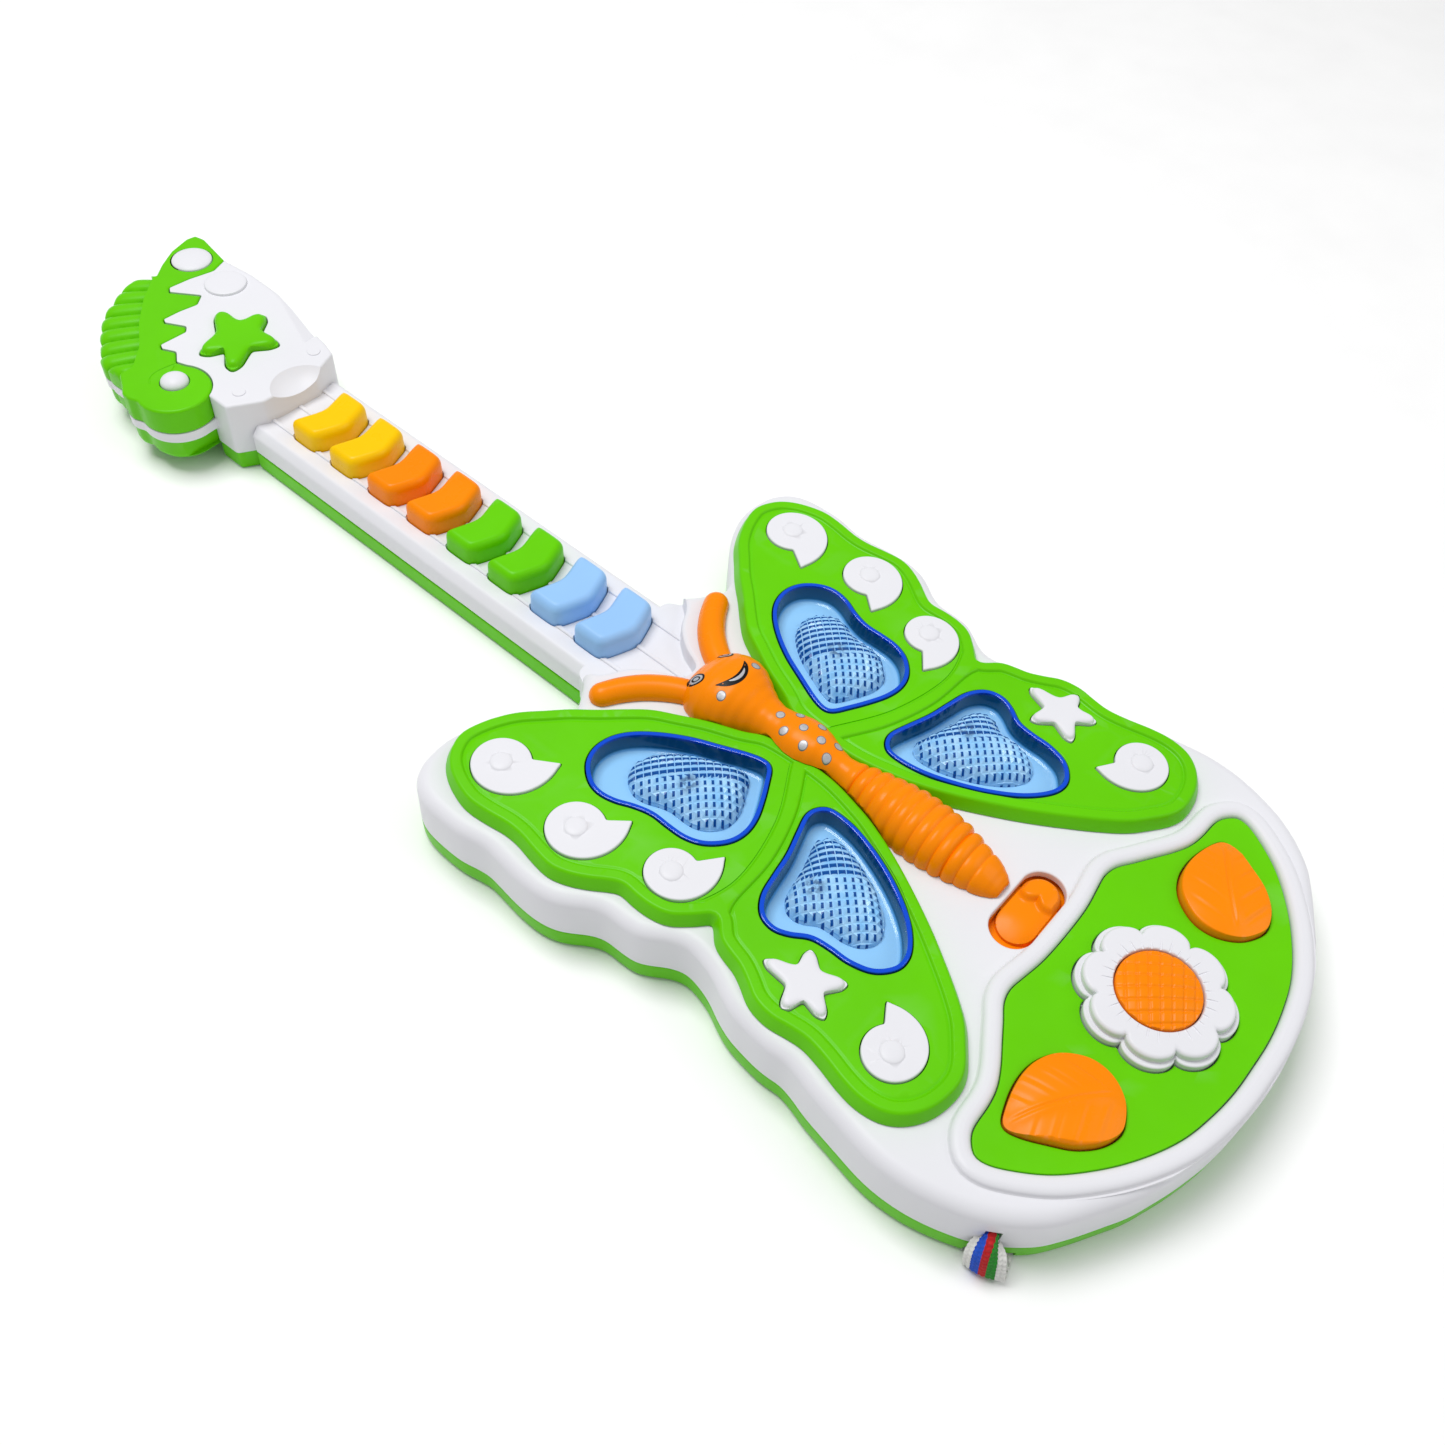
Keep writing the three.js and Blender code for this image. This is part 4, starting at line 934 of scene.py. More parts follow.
def strap():
    """The webbing: bunched where it leaves the side slot, opening to its width on its way to the base."""
    line = open_curve(STRAP_LINE, 150)
    along = np.concatenate([[0], np.cumsum(np.linalg.norm(np.diff(line, axis=0), axis=1))])
    tangents = np.gradient(line, axis=0)
    tangents /= np.linalg.norm(tangents, axis=1)[:, None]
    count = 45
    w = np.linspace(-0.5, 0.5, count) * STRAP_WIDTH
    step = w[1] - w[0]
    rings = []
    share = np.arange(count) / (count - 1)
    cord = np.abs(np.sin(share * math.pi * STRAP_CORDS))
    stagger = 0.5 * np.floor(share * STRAP_CORDS) + 0.25 * share * STRAP_CORDS
    for point, tangent, reach in zip(line, tangents, along):
        opening = np.interp(reach, [6.5, 10, 15, 22, 26], [0, 0.3, 0.8, 0.97, 1.0])
        swing = math.radians(np.interp(reach, [8, 20, 28, 34], [0, 16, 12, 0]))
        width_axis = np.array([math.sin(swing), math.cos(swing), 0])
        width_axis -= tangent * width_axis.dot(tangent)
        width_axis /= np.linalg.norm(width_axis)
        normal = np.cross(tangent, width_axis)
        curl = np.where(np.abs(w) < 2.1, 1 / BUNCHED_RADIUS, 0.0) * (1 - opening) + 0.055 * opening
        angle = np.cumsum(curl) * step
        angle -= np.interp(0, w, angle)
        p = np.cumsum(np.cos(angle)) * step
        q = -np.cumsum(np.sin(angle)) * step
        p -= np.interp(0, w, p)
        q -= np.interp(0, w, q)
        rib = np.sin(2 * math.pi * (reach / WEAVE_PITCH + stagger))
        half = STRAP_THICKNESS / 2 - 0.24 + 0.18 * cord + 0.16 * rib
        sides = []
        for offset in (half, -half):
            across, up = p + np.sin(angle) * offset, q + np.cos(angle) * offset
            sides.append(point + np.outer(across, width_axis) + np.outer(up, normal))
        rings.append(in_strap_frame(np.vstack([sides[0], sides[1][::-1]])))
    piece = stacked(rings)
    names = sorted({stripe for _, stripe in STRIPES})
    finished(piece, "webbing_strap", names, nodes=["strap_loop"], angle=70)
    per_ring = 2 * count
    for face in piece.data.polygons:
        places = [v % per_ring for v in face.vertices]
        middle = np.mean([(v if v < count else per_ring - 1 - v) / (count - 1) for v in places])
        stripe = next(name for limit, name in STRIPES if middle <= limit)
        face.material_index = names.index(stripe)


# ---- Back shell ---------------------------------------------------------------------------------------

DOOR = (-26.4, 26.4, -126, -63)
DOOR_SCREW = (0, -123.7)
SPEAKER_Y = -188
# Case screws: x, y and the height of the floor they are sunk in.
CASE_SCREWS = [
    (-62, -170, 0), (62, -170, 0), (-60, -60, 0), (60, -60, 0), (-58, -28, 0), (58, -28, 0), (0, 20, 0),
    (0, 118, 0), (0, 188, HEAD_BACK),
]


def back_shell():
    seam = SEAM - GAP / 2
    body = lofted(BODY, [(-1.2, 0), (-0.6, 0.25), (-0.3, 0.9), (-0.1, 2), (0, seam - 0.5), (-0.2, seam)])
    section = rounded_section([[-NECK_HALF, 0], [NECK_HALF, 0], [NECK_HALF, seam], [-NECK_HALF, seam]], 0.4)
    section[:, 0] *= np.where(section[:, 1] < 0.6, 0.985, 1)
    neck = prism_along_y(section, NECK_START, NECK_END)
    nut = lofted(NUT, [(-0.9, 0), (-0.2, 0.4), (0, 1.2), (0, seam)])
    bridge = block(-20, 20, NUT_END - 1, 156, HEAD_BACK, seam)
    head = lofted(HEAD_SILHOUETTE, [(-3.4, HEAD_BACK), (-2.0, HEAD_BACK + 0.5), (-1.1, HEAD_BACK + 1.6),
                                    (-0.7, HEAD_BACK + 3), (-0.5, HEAD_SEAM - GAP / 2)])
    head = cut(head, block(-60, 60, 100, NUT_END + GAP, seam, 30))
    outside = joined(body, neck, nut, bridge, head)
    hollow = joined(
        lofted(grown(BODY, -WALL), [(-0.6, BACK_FLOOR), (-0.3, 30)]),
        block(-NECK_HALF + WALL, NECK_HALF - WALL, NECK_START, NECK_END, BACK_FLOOR, 30),
        lofted(grown(NUT, -WALL), [(0, BACK_FLOOR), (0, 30)]),
        block(-13, 13, NECK_END - 6, NECK_END + 6, BACK_FLOOR, 30),
        block(-13, 13, NUT_END - 6, NUT_END + 6, HEAD_BACK + BACK_FLOOR, 30),
        lofted(grown(HEAD_SILHOUETTE, -3 - WALL), [(0, HEAD_BACK + BACK_FLOOR), (0, 30)]),
    )
    tray = cut(outside, hollow)
    bosses, screw_wells = [], []
    for x, y, floor in CASE_SCREWS:
        bosses.append(turned(x, y, [(4.2, floor + 0.4), (4.2, floor + 5.5)], 32))
        screw_wells.append(turned(x, y, [(3.3, floor - 1), (3.1, floor + 0.2), (2.9, floor + 3.4)], 32))
    door = rectangle(*DOOR, soften=1.0)
    bay = lofted(door, [(WALL, BACK_FLOOR - 0.5), (WALL, 11)])
    tray = joined(tray, bay, *bosses)
    grille = []
    for row in (-2, -1, 0, 1, 2):
        half = 15 - abs(row) * 2.6
        slot = stadium(0, SPEAKER_Y + row * 5.2, half, 1.0, 24)
        grille.append(lofted(slot, [(0.35, -1), (0.35, 0.02), (0, 0.4), (0, BACK_FLOOR + 0.4)]))
    foot_slot = slot_at_strap(-4.4, 7.4, -1, 3.2)
    door_room = lofted(door, [(GAP, -1), (GAP, 12)])
    shell = cut(tray, door_room, gathered(screw_wells), gathered(grille), foot_slot)
    finished(shell, "green_back_shell", "green", nodes=["back_shell"])


def battery_door():
    door = lofted(rectangle(*DOOR, soften=1.0), [(-0.5, 0.1), (-0.1, 0.25), (0, 0.6), (0, BACK_FLOOR)])
    recess = turned(*DOOR_SCREW, [(4.4, -1), (4.2, 0.15), (3.6, 0.5)])
    screw_hole = turned(*DOOR_SCREW, [(2.9, -2), (2.9, 4)])
    grips = [block(-9, 9, y, y + 1.1, -1, 0.55) for y in (-72, -75, -78, -81)]
    door = cut(door, recess, screw_hole, gathered(grips))
    finished(door, "battery_door_cover", "green", nodes=["battery_door"])


def screw_head(x, y, z, radius, depth):
    """A pan head seen from below, with a cross recess."""
    head = turned(x, y, [(radius * 0.55, z), (radius * 0.85, z + 0.2), (radius, z + 0.6), (radius, z + depth)], 32)
    arms = joined(block(x - radius * 0.6, x + radius * 0.6, y - 0.35, y + 0.35, z - 1, z + 0.8),
                  block(x - 0.35, x + 0.35, y - radius * 0.6, y + radius * 0.6, z - 1, z + 0.8))
    return cut(head, arms)


def screws():
    heads = [screw_head(x, y, floor + 1.6, 2.5, 1.6) for x, y, floor in CASE_SCREWS]
    finished(gathered(heads), "case_screws", "steel")
    door_screw = screw_head(*DOOR_SCREW, 0.35, 2.6, 1.5)
    finished(door_screw, "door_screw", "steel", nodes=["battery_door_screw"])


# ---- Wings --------------------------------------------------------------------------------------------

FIELD = WING_TOP - 0.5  # the wings' sunk fields inside their rims
INSERT_LOW = low("snail_insert_left_1").z


def wing(side):
    turn = SIDES[side][1]
    outline = turn(WING)
    flank = [(1.1, WING_LOW), (0.9, WING_LOW + 1), (0.15, WING_TOP - 1.3)]
    body = lofted(outline, flank + quarter(-1.1, WING_TOP - 1.1, 1.1, 1.1, [20, 40, 60, 75, 90]))
    mouth = [(-4.6, FIELD), (-4.2, FIELD - 0.2), (-3.8, FIELD - 0.3), (-3.5, FIELD - 0.15), (-3.3, FIELD + 0.2),
             (-3.0, WING_TOP - 0.05), (-2.8, WING_TOP + 0.02), (-2.8, WING_TOP + 3)]
    field = lofted(outline, mouth)
    ridge_line = turn(WING_RIDGE)
    groove = common(lofted(grown(ridge_line, 0.9), [(0, FIELD - 0.3), (0, WING_TOP + 3)]),
                    lofted(outline, [(-3.6, FIELD - 2), (-3.6, WING_TOP + 2)]))
    ridge = lofted(ridge_line, [(0.4, FIELD - 3), (0.4, FIELD - 0.3), (0.1, WING_TOP - 0.4), (-0.1, WING_TOP - 0.15),
                                (-0.5, WING_TOP), (-0.5, WING_TOP + 0.01)])
    body = cut(body, cut(joined(field, groove), ridge))
    mouth = [(GAP, 0), (GAP, FIELD - 0.3), (GAP + 0.1, FIELD - 0.1), (GAP + 0.35, FIELD + 0.03),
             (GAP + 0.35, ABOVE)]
    windows = [lofted(turn(loop), mouth) for loop, *_ in LENSES.values()]
    inserts = [*[snail_outline(*snail) for snail in SNAILS], WING_STAR]
    pockets = [lofted(turn(loop), [(GAP, INSERT_LOW - GAP), (GAP, ABOVE)]) for loop in inserts]
    body = cut(body, gathered([*windows, *pockets]))
    finished(body, f"{side}_wing", "green", nodes=[f"wing_{side}"])


def snail(side, index):
    sign, turn = SIDES[side]
    x, y, inner, tip, angle = SNAILS[index]
    body = lofted(turn(snail_outline(x, y, inner, tip, angle)),
                  rounded(INSERT_LOW, FIELD + 0.75, 0.45, steps=4))
    bump = [(3.1, INSERT_LOW + 1), (3.1, FIELD + 0.7), (2.95, FIELD + 0.95), (2.6, FIELD + 1.15),
            (1.9, FIELD + 1.3), (0.8, FIELD + 1.36)]
    body = joined(body, turned(x * sign, y, bump, 40))
    node = f"snail_insert_{side}_{index + 1}"
    finished(body, f"snail_{side}_{index + 1}", "white", nodes=[node], angle=60)


def pillow(loop, z0, z_edge, rise, spread, step=0.22):
    """A body whose top swells from its edge like a cushion, most where it is widest."""
    x0, y0 = loop.min(0) - 2
    x1, y1 = loop.max(0) + 2

    def height_at(x, y):
        reach = int(3 * spread / step)
        weights = np.exp(-0.5 * (np.arange(-reach, reach + 1) * step / spread) ** 2)
        weights /= weights.sum()
        covered = inside(loop, np.stack([x, y], axis=-1)).astype(float)
        blurred = np.apply_along_axis(np.convolve, 0, covered, weights, "same")
        blurred = np.apply_along_axis(np.convolve, 1, blurred, weights, "same")
        share = np.clip(2 * blurred - 0.96, 0, 1)
        return z_edge + rise * np.sqrt(1 - (1 - share) ** 2)

    top = height_block(x0, x1, y0, y1, step, z0 - 2, height_at)
    sides = lofted(loop, [(0, z0), (0, z_edge - 0.3), (-0.06, z_edge + 0.05), (-0.06, z_edge + rise + 2)])
    return common(top, sides)


def wing_star(side):
    turn = SIDES[side][1]
    body = pillow(turn(WING_STAR), INSERT_LOW, FIELD + 0.5, 1.3, 1.1)
    finished(body, f"star_{side}", "white", nodes=[f"star_insert_{side}"], angle=60)


# ---- Lenses and lights --------------------------------------------------------------------------------

DOME_SCALE = 0.65
DOME_TOP = 27.1
DOME_SHIFT = 4.4  # all four domes stand a little to the right in their trays
FACET_PITCH = 2.05
FACETS_HALF = 23  # of the lattice's width
TOWARDS_FAR = np.array([0.756, 0.655])  # across the deck, away from the camera


def radius_towards(loop, centre, angles):
    """How far the outline reaches from the centre in each direction."""
    around = loop - centre
    directions = np.arctan2(around[:, 1], around[:, 0])
    order = np.argsort(directions)
    return np.interp(angles, directions[order], np.linalg.norm(around, axis=1)[order], period=2 * math.pi)


def faceted_block(centre, half, base, height_at):
    """A block whose top is a diamond lattice of small pyramids standing on height_at(x, y)."""
    count = int(half / FACET_PITCH) + 1
    diagonal = np.array([[1, 1], [-1, 1]]) * FACET_PITCH / math.sqrt(2)
    size = 2 * count + 1
    ij = np.array([[i, j] for j in range(-count, count + 1) for i in range(-count, count + 1)], float)
    origin = np.round(centre @ np.linalg.inv(diagonal)) @ diagonal
    corners = ij @ diagonal + origin
    centres = (ij + 0.5) @ diagonal + origin
    top = np.column_stack([corners, height_at(corners) - 0.25])
    peaks = np.column_stack([centres, height_at(centres) + 0.3])
    under = np.column_stack([corners, np.full(len(corners), float(base))])
    n = len(top)
    faces = []
    for j in range(size - 1):
        for i in range(size - 1):
            a = j * size + i
            ring = [a, a + 1, a + size + 1, a + size]
            faces += [[ring[k], ring[(k + 1) % 4], n + a] for k in range(4)]
            faces.append([2 * n + v for v in ring[::-1]])
    edge = rectangle_edge(size, size)
    for i, a in enumerate(edge):
        b = edge[(i + 1) % len(edge)]
        faces.append([a, 2 * n + a, 2 * n + b, b])
    return made(np.vstack([top, peaks, under]), faces)


def lens(side, level):
    sign, turn = SIDES[side]
    outline, light, centre = LENSES[level]
    rim = turn(outline)
    centre = np.array([centre[0] * sign + DOME_SHIFT, centre[1]], float)
    top = FIELD + 0.35
    wall = -LENS_WALL
    outer = [(-0.3, LENS_LOW), (0, LENS_LOW + 0.4), (0, top - 0.25), (-0.1, top - 0.06), (-0.3, top)]
    inner = [(wall + 0.25, top), (wall + 0.05, top - 0.08), (wall, top - 0.3), (wall - 0.35, LENS_FLOOR + 1.5),
             (wall - 0.6, LENS_FLOOR + 0.7), (wall - 1.0, LENS_FLOOR + 0.2), (wall - 1.7, LENS_FLOOR)]
    tray = lofted(rim, outer + inner)
    heart = anticlockwise(centre + (rim - centre) * DOME_SCALE)

    def height_at(points):
        away = points - centre
        reach = radius_towards(heart, centre, np.arctan2(away[:, 1], away[:, 0]))
        share = np.clip(np.linalg.norm(away, axis=1) / reach, 0, 1.05)
        return LENS_FLOOR + 0.7 + (DOME_TOP - LENS_FLOOR - 1.2) * np.sqrt(np.maximum(0, 1 - share**2.1))

    facets = faceted_block(centre, FACETS_HALF, LENS_FLOOR - 0.6, height_at)
    foot = [(0.5, LENS_FLOOR - 1), (0.3, LENS_FLOOR + 0.3), (0, LENS_FLOOR + 1), (0, ABOVE)]
    dome = common(facets, lofted(heart, foot))
    led_room = turned(light[0] * sign, light[1], [(4, 0), (4, 20.8), (3.4, 21.8), (2.2, 22.7), (0.6, 23)], 32)
    body = cut(joined(tray, dome), led_room)
    looks = ["lens", "dome_near_painted_shade", "dome_far_painted_shade"]
    finished(body, f"{level}_lens_{side}", looks, nodes=[f"lens_{level}_{side}"], angle=12)
    edge = BVHTree.FromPolygons([(x, y, 0) for x, y in grown(heart, 0.35)], [list(range(len(heart)))])
    # dome faces on the side towards the camera get the near painted facet shade, the others the far
    for face in body.data.polygons:
        middle = face.center / MM
        above = edge.ray_cast(Vector((middle.x, middle.y, 1)), Vector((0, 0, -1)))[0]
        if above and middle.z > LENS_FLOOR + 0.06:
            away = (np.array(middle.xy) - centre) @ TOWARDS_FAR
            face.material_index = looks.index("dome_far_painted_shade" if away > -2 else "dome_near_painted_shade")


def led(side, level):
    sign, _ = SIDES[side]
    x, y = LENSES[level][1]
    node = f"led_{level}_{side}"
    base = low(node).z
    profile = [(2.9, base), (2.9, base + 1), (2.5, base + 1.1), (2.5, 20)]
    profile += quarter(0, 20, 2.5, 2.2, [20, 40, 60, 75, 88])
    bulb = turned(x * sign, y, profile, 32)
    finished(bulb, f"{level}_light_{side}", "led", nodes=[node])


# ---- Butterfly ----------------------------------------------------------------------------------------

BUTTERFLY_LOW = low("butterfly").z

# Along the butterfly: y, half-width and top height.
BUTTERFLY = [
    (-44.2, 5, 25.2), (-45, 8.2, 27.6), (-47, 10.6, 29.8), (-50, 12.2, 31.8), (-53, 12.9, 33), (-56, 12.9, 33.4),
    (-59, 12.1, 33.1), (-62, 10.4, 32.2), (-65, 8.4, 31), (-68, 6.8, 30), (-71, 6.1, 29.6), (-74, 6.5, 29.9),
    (-77, 7.4, 30.6), (-80, 8, 31.1), (-83, 7.9, 31.3), (-86, 7.1, 31.1), (-89, 6.0, 30.4), (-92, 5.0, 29.5),
    (-94.5, 4.5, 29), (-97, 4.9, 29.1), (-100, 5.8, 29.6), (-103, 6.7, 30.2), (-107, 7.7, 30.8), (-112, 8.7, 31.3),
    (-118, 9.4, 31.6), (-124, 9.4, 31.3), (-129, 8.9, 30.7), (-134, 7.9, 29.6), (-138, 6.8, 28.3), (-142, 5.8, 27.0),
    (-145, 4.4, 25.4), (-146.4, 2.6, 23.8),
]
ANTENNA = [[5.5, -50], [7.6, -45], [10.6, -40.3], [14.5, -35.9], [19.2, -32.2], [23.8, -29.6]]
ABDOMEN_START = -96.5
ABDOMEN_END = -143
RING_PITCH = 3.55
FULLNESS = 2 / 2.25  # below 1 the cross-section is fuller than an ellipse


def butterfly_body():
    table = np.array(BUTTERFLY)[::-1]
    rings = []
    angle = np.linspace(0, math.pi, 41)
    for y in np.arange(table[0, 0], table[-1, 0], 0.45):
        half = np.interp(y, table[:, 0], table[:, 1])
        rise = np.interp(y, table[:, 0], table[:, 2]) - BUTTERFLY_LOW
        weight = np.exp(-(((table[:, 0] - y) / 1.6) ** 2))
        half = 0.6 * half + 0.4 * np.sum(weight * table[:, 1]) / weight.sum()
        rise = 0.6 * rise + 0.4 * (np.sum(weight * table[:, 2]) / weight.sum() - BUTTERFLY_LOW)
        fade = min(1, max(0, (ABDOMEN_START - y) / 3)) * min(1, max(0, (y - ABDOMEN_END) / 2.5))
        turn = (ABDOMEN_START - y) / RING_PITCH
        swell = 0.9 * fade * (math.sqrt(abs(math.sin(math.pi * turn))) - 0.75)
        x = np.sign(np.cos(angle)) * np.abs(np.cos(angle)) ** FULLNESS * (half + swell)
        z = BUTTERFLY_LOW + np.abs(np.sin(angle)) ** FULLNESS * (rise + swell)
        rings.append(np.column_stack([x, np.full(len(x), y), z])[::-1])
    return stacked(rings)


def butterfly():
    body = butterfly_body()
    line = open_curve(ANTENNA, 26)
    thickness = 3.75 + 0.35 * np.sin(np.linspace(0.2, math.pi, len(line)))
    antennae = [swept(at_height(line * [sign, 1], 22.5), thickness, 28) for sign in (-1, 1)]
    whole = joined(body, *antennae)
    under = block(-60, 60, -200, 0, 0, BUTTERFLY_LOW)
    wings = [lofted(turn(WING), [(1.3, 0), (1.3, WING_LOW + 0.2), (0.45, WING_TOP - 1), (0.3, WING_TOP + 0.3)])
             for _, turn in SIDES.values()]
    whole = cut(whole, under, *wings)
    return finished(whole, "butterfly_moulding", "orange", nodes=["butterfly"], angle=50)


def decals(surface):
    """Thin printed shapes that follow the butterfly's surface: eyes, smile, cheeks and silver spots."""
    bpy.context.view_layer.update()
    tree = BVHTree.FromObject(surface, bpy.context.evaluated_depsgraph_get())

    def skin(x, y):
        hit = tree.ray_cast(Vector((x, y, 50)) * MM, Vector((0, 0, -1)))[0]
        return hit.z / MM if hit else 25

    def print_on_skin(loop, lift):
        loop = anticlockwise(loop)
        centre = loop.mean(0)
        inner = [centre + (loop - centre) * share for share in (0.66, 0.33)]
        points = [Vector(p) for p in np.vstack([loop, *inner, [centre]])]
        edges = [(i, (i + 1) % len(loop)) for i in range(len(loop))]
        out = delaunay_2d_cdt(points, edges, [], 1, 1e-6)
        places, faces = np.array([list(v) for v in out[0]]), [list(f) for f in out[2]]
        z = np.array([skin(*place) for place in places])
        n = len(places)
        faces += [[n + i for i in face[::-1]] for face in faces]
        faces += [[i, n + i, n + j, j] for i, j in edges]
        top, under = np.column_stack([places, z + lift]), np.column_stack([places, z - 0.15])
        return made(np.vstack([top, under]), faces)

    def printed(loops, name, material, lift):
        parts = [print_on_skin(loop, lift) for loop in loops]
        finished(gathered(parts), name, material, angle=60)

    def ellipse(x, y, rx, ry, turn=0.0, count=28):
        flat = circle(0, 0, 1, count) * [rx, ry]
        c, s = math.cos(math.radians(turn)), math.sin(math.radians(turn))
        return flat @ np.array([[c, s], [-s, c]]) + [x, y]

    eyes = [(-6.1, -47.8), (6.1, -47.8)]
    printed([ellipse(x, y, 2.15, 2.5) for x, y in eyes], "eye_outlines", "ink", 0.05)
    printed([ellipse(x, y, 1.6, 1.95) for x, y in eyes], "eye_silver", "silver", 0.08)
    printed([ellipse(x, y, 1.05, 1.3) for x, y in eyes], "eye_rings", "ink", 0.11)
    printed([ellipse(x, y - 0.1, 0.62, 0.8) for x, y in eyes], "eye_centres", "silver", 0.14)

    across = np.linspace(-1, 1, 25)
    bow = 1 - across**2
    upper = np.column_stack([across * 6, -54.5 - 2.2 * bow])
    lower = np.column_stack([across * 6, -54.9 - 4.3 * bow**0.7])
    printed([np.vstack([upper, lower[::-1]])], "smile", "ink", 0.05)
    upper = np.column_stack([0.3 + across * 3.2, -56.6 - 0.8 * bow])
    lower = np.column_stack([0.3 + across * 3.2, -56.8 - 1.5 * bow**0.8])
    printed([np.vstack([upper, lower[::-1]])], "smile_silver", "silver", 0.09)
    spots = [(-7.25, -57.8), (7.25, -57.8), (0, -72.7), (0, -80.5), (0, -86.5), (-3.6, -76.7), (3.6, -76.7),
             (-4.15, -83.7), (4.15, -83.7), (-2.6, -90.6), (2.6, -90.6)]
    printed([ellipse(x, y, 1.3, 1.3) for x, y in spots], "spot_outlines", "spot_edge", 0.05)
    printed([ellipse(x, y, 1.08, 1.08) for x, y in spots], "silver_spots", "silver", 0.08)


# ---- Tail panel and buttons ---------------------------------------------------------------------------

BUTTON_LOW = low("flower_button").z
FLANGE_HIGH = BUTTON_LOW + 1.2


def leaf_panel():
    panel = lofted(LEAF_PANEL, rounded(PANEL_LOW, PANEL_TOP - 0.3, 0.3, steps=3))
    rooms = [lofted(grown(flower_outline(1), SLIDE_GAP), hole(0, PANEL_TOP - 0.3, 0.3))]
    for _, turn in SIDES.values():
        rooms.append(lofted(grown(turn(LEAF_BUTTON), SLIDE_GAP), hole(0, PANEL_TOP - 0.3, 0.3)))
    finished(cut(panel, *rooms), "green_leaf_panel", "green", nodes=["leaf_panel"])


def leaf_button(side):
    sign, turn = SIDES[side]
    loop = turn(LEAF_BUTTON)
    tip, stem = np.array([51, -181.5]), np.array([29.5, -196])
    axis = (tip - stem) / np.linalg.norm(tip - stem)
    normal = np.array([-axis[1], axis[0]])
    length = np.linalg.norm(tip - stem)
    centre = np.array([37.5, -189])

    def height_at(x, y):
        x = x * sign
        along = (x - stem[0]) * axis[0] + (y - stem[1]) * axis[1]
        across = (x - stem[0]) * normal[0] + (y - stem[1]) * normal[1]
        away = np.hypot((x - centre[0]) / 15, (y - centre[1]) / 13.5)
        z = 26.15 - 2.4 * np.clip(away, 0, 1.3) ** 2.6
        bow = across - 0.9 * np.sin(np.clip(along / length, 0, 1) * math.pi)
        reach = np.clip(along / 3, 0, 1) * np.clip((length - along) / 3, 0, 1)
        z += reach * (0.3 * np.exp(-((bow / 1.5) ** 2)) - 0.42 * np.exp(-(((bow - 0.3) / 0.4) ** 2)))
        vein = (along - 0.8 * np.abs(bow)) / 6.2
        phase = vein - np.round(vein)
        strength = np.clip((np.abs(bow) - 1.2) / 2.4, 0, 1) * np.clip((10.5 - np.abs(bow)) / 3, 0, 1)
        strength *= np.where(bow * sign > 0, 0.55, 1.0)
        z += 0.16 * strength * (np.exp(-(((phase - 0.12) / 0.13) ** 2)) - np.exp(-(((phase + 0.1) / 0.12) ** 2)))
        return z

    x0, x1 = sorted((23 * sign, 54 * sign))
    top = height_block(x0, x1, -204, -175, 0.3, 20, height_at)
    edge = [(0, 19), (0, 23.6), (-0.25, 24.5), (-0.75, 25.2), (-1.6, 25.9), (-2.6, 26.4)]
    crown = common(top, lofted(loop, edge))
    flange = lofted(grown(loop, 1.4), [(0, BUTTON_LOW), (0, FLANGE_HIGH)])
    body = joined(crown, lofted(loop, [(-0.05, BUTTON_LOW), (-0.05, 21)]), flange)
    node = f"leaf_button_{side}"
    finished(body, f"orange_leaf_{side}", "orange", node, [node], angle=45)


CENTRE_RADIUS = 10.6  # of the flower's waffled middle


def flower():
    base = lofted(flower_outline(1), rounded(BUTTON_LOW, 24.1, 0.5))
    top = lofted(flower_outline(0.93), rounded(23.6, 26.6, 1.1, steps=6))
    flange = lofted(circle(*FLOWER, 21.2, 64), [(0, BUTTON_LOW), (0, FLANGE_HIGH)])
    well = turned(*FLOWER, [(10.9, 21.6), (10.9, 26), (11.2, 26.5), (11.7, 26.7), (11.7, ABOVE)], 96)
    creases = []
    for angle in 2 * math.pi * (np.arange(4 * PETALS) + 0.5) / (4 * PETALS):
        reach = 13.2 + 1.6 * math.sin(4 * angle) ** 2
        direction = np.array([math.cos(angle), math.sin(angle)])
        stations = ((11, 26.55), (reach - 1.5, 26.62), (reach, 26.85))
        path = [[*(np.array(FLOWER) + direction * r), z] for r, z in stations]
        creases.append(swept(open_curve(path, 5), [0.3, 0.28, 0.25, 0.22, 0.2], 8))
    body = cut(joined(base, top, flange), well, *creases)
    finished(body, "white_flower", "white", "flower", ["flower_button"], angle=40)

    def height_at(x, y):
        dx, dy = x - FLOWER[0], y - FLOWER[1]
        r = np.hypot(dx, dy) / CENTRE_RADIUS
        z = 27.95 - 1.5 * np.clip(r, 0, 1.1) ** 2.2
        u = 0.86 * dy - 0.5 * dx + 0.006 * dx * dx
        v = 0.76 * dx + 0.65 * dy - 0.006 * dy * dy
        for w, pitch in ((u, 2.8), (v, 3.1)):
            phase = (w / pitch - np.round(w / pitch)) * pitch
            z -= 0.32 * np.exp(-((phase / 0.3) ** 2))
        return z

    cells = height_block(-11.5, 11.5, FLOWER[1] - 11.5, FLOWER[1] + 11.5, 0.23, 21.9, height_at)
    rim = circle(*FLOWER, CENTRE_RADIUS, 96)
    disc = common(cells, lofted(rim, [(0, 21.9), (0, 25.9), (-0.3, 26.6), (-0.9, 27.2), (-2.2, 28)]))
    finished(disc, "flower_middle", "orange", "flower", ["flower_center"], angle=50)


KNOB_LOW = 17.2


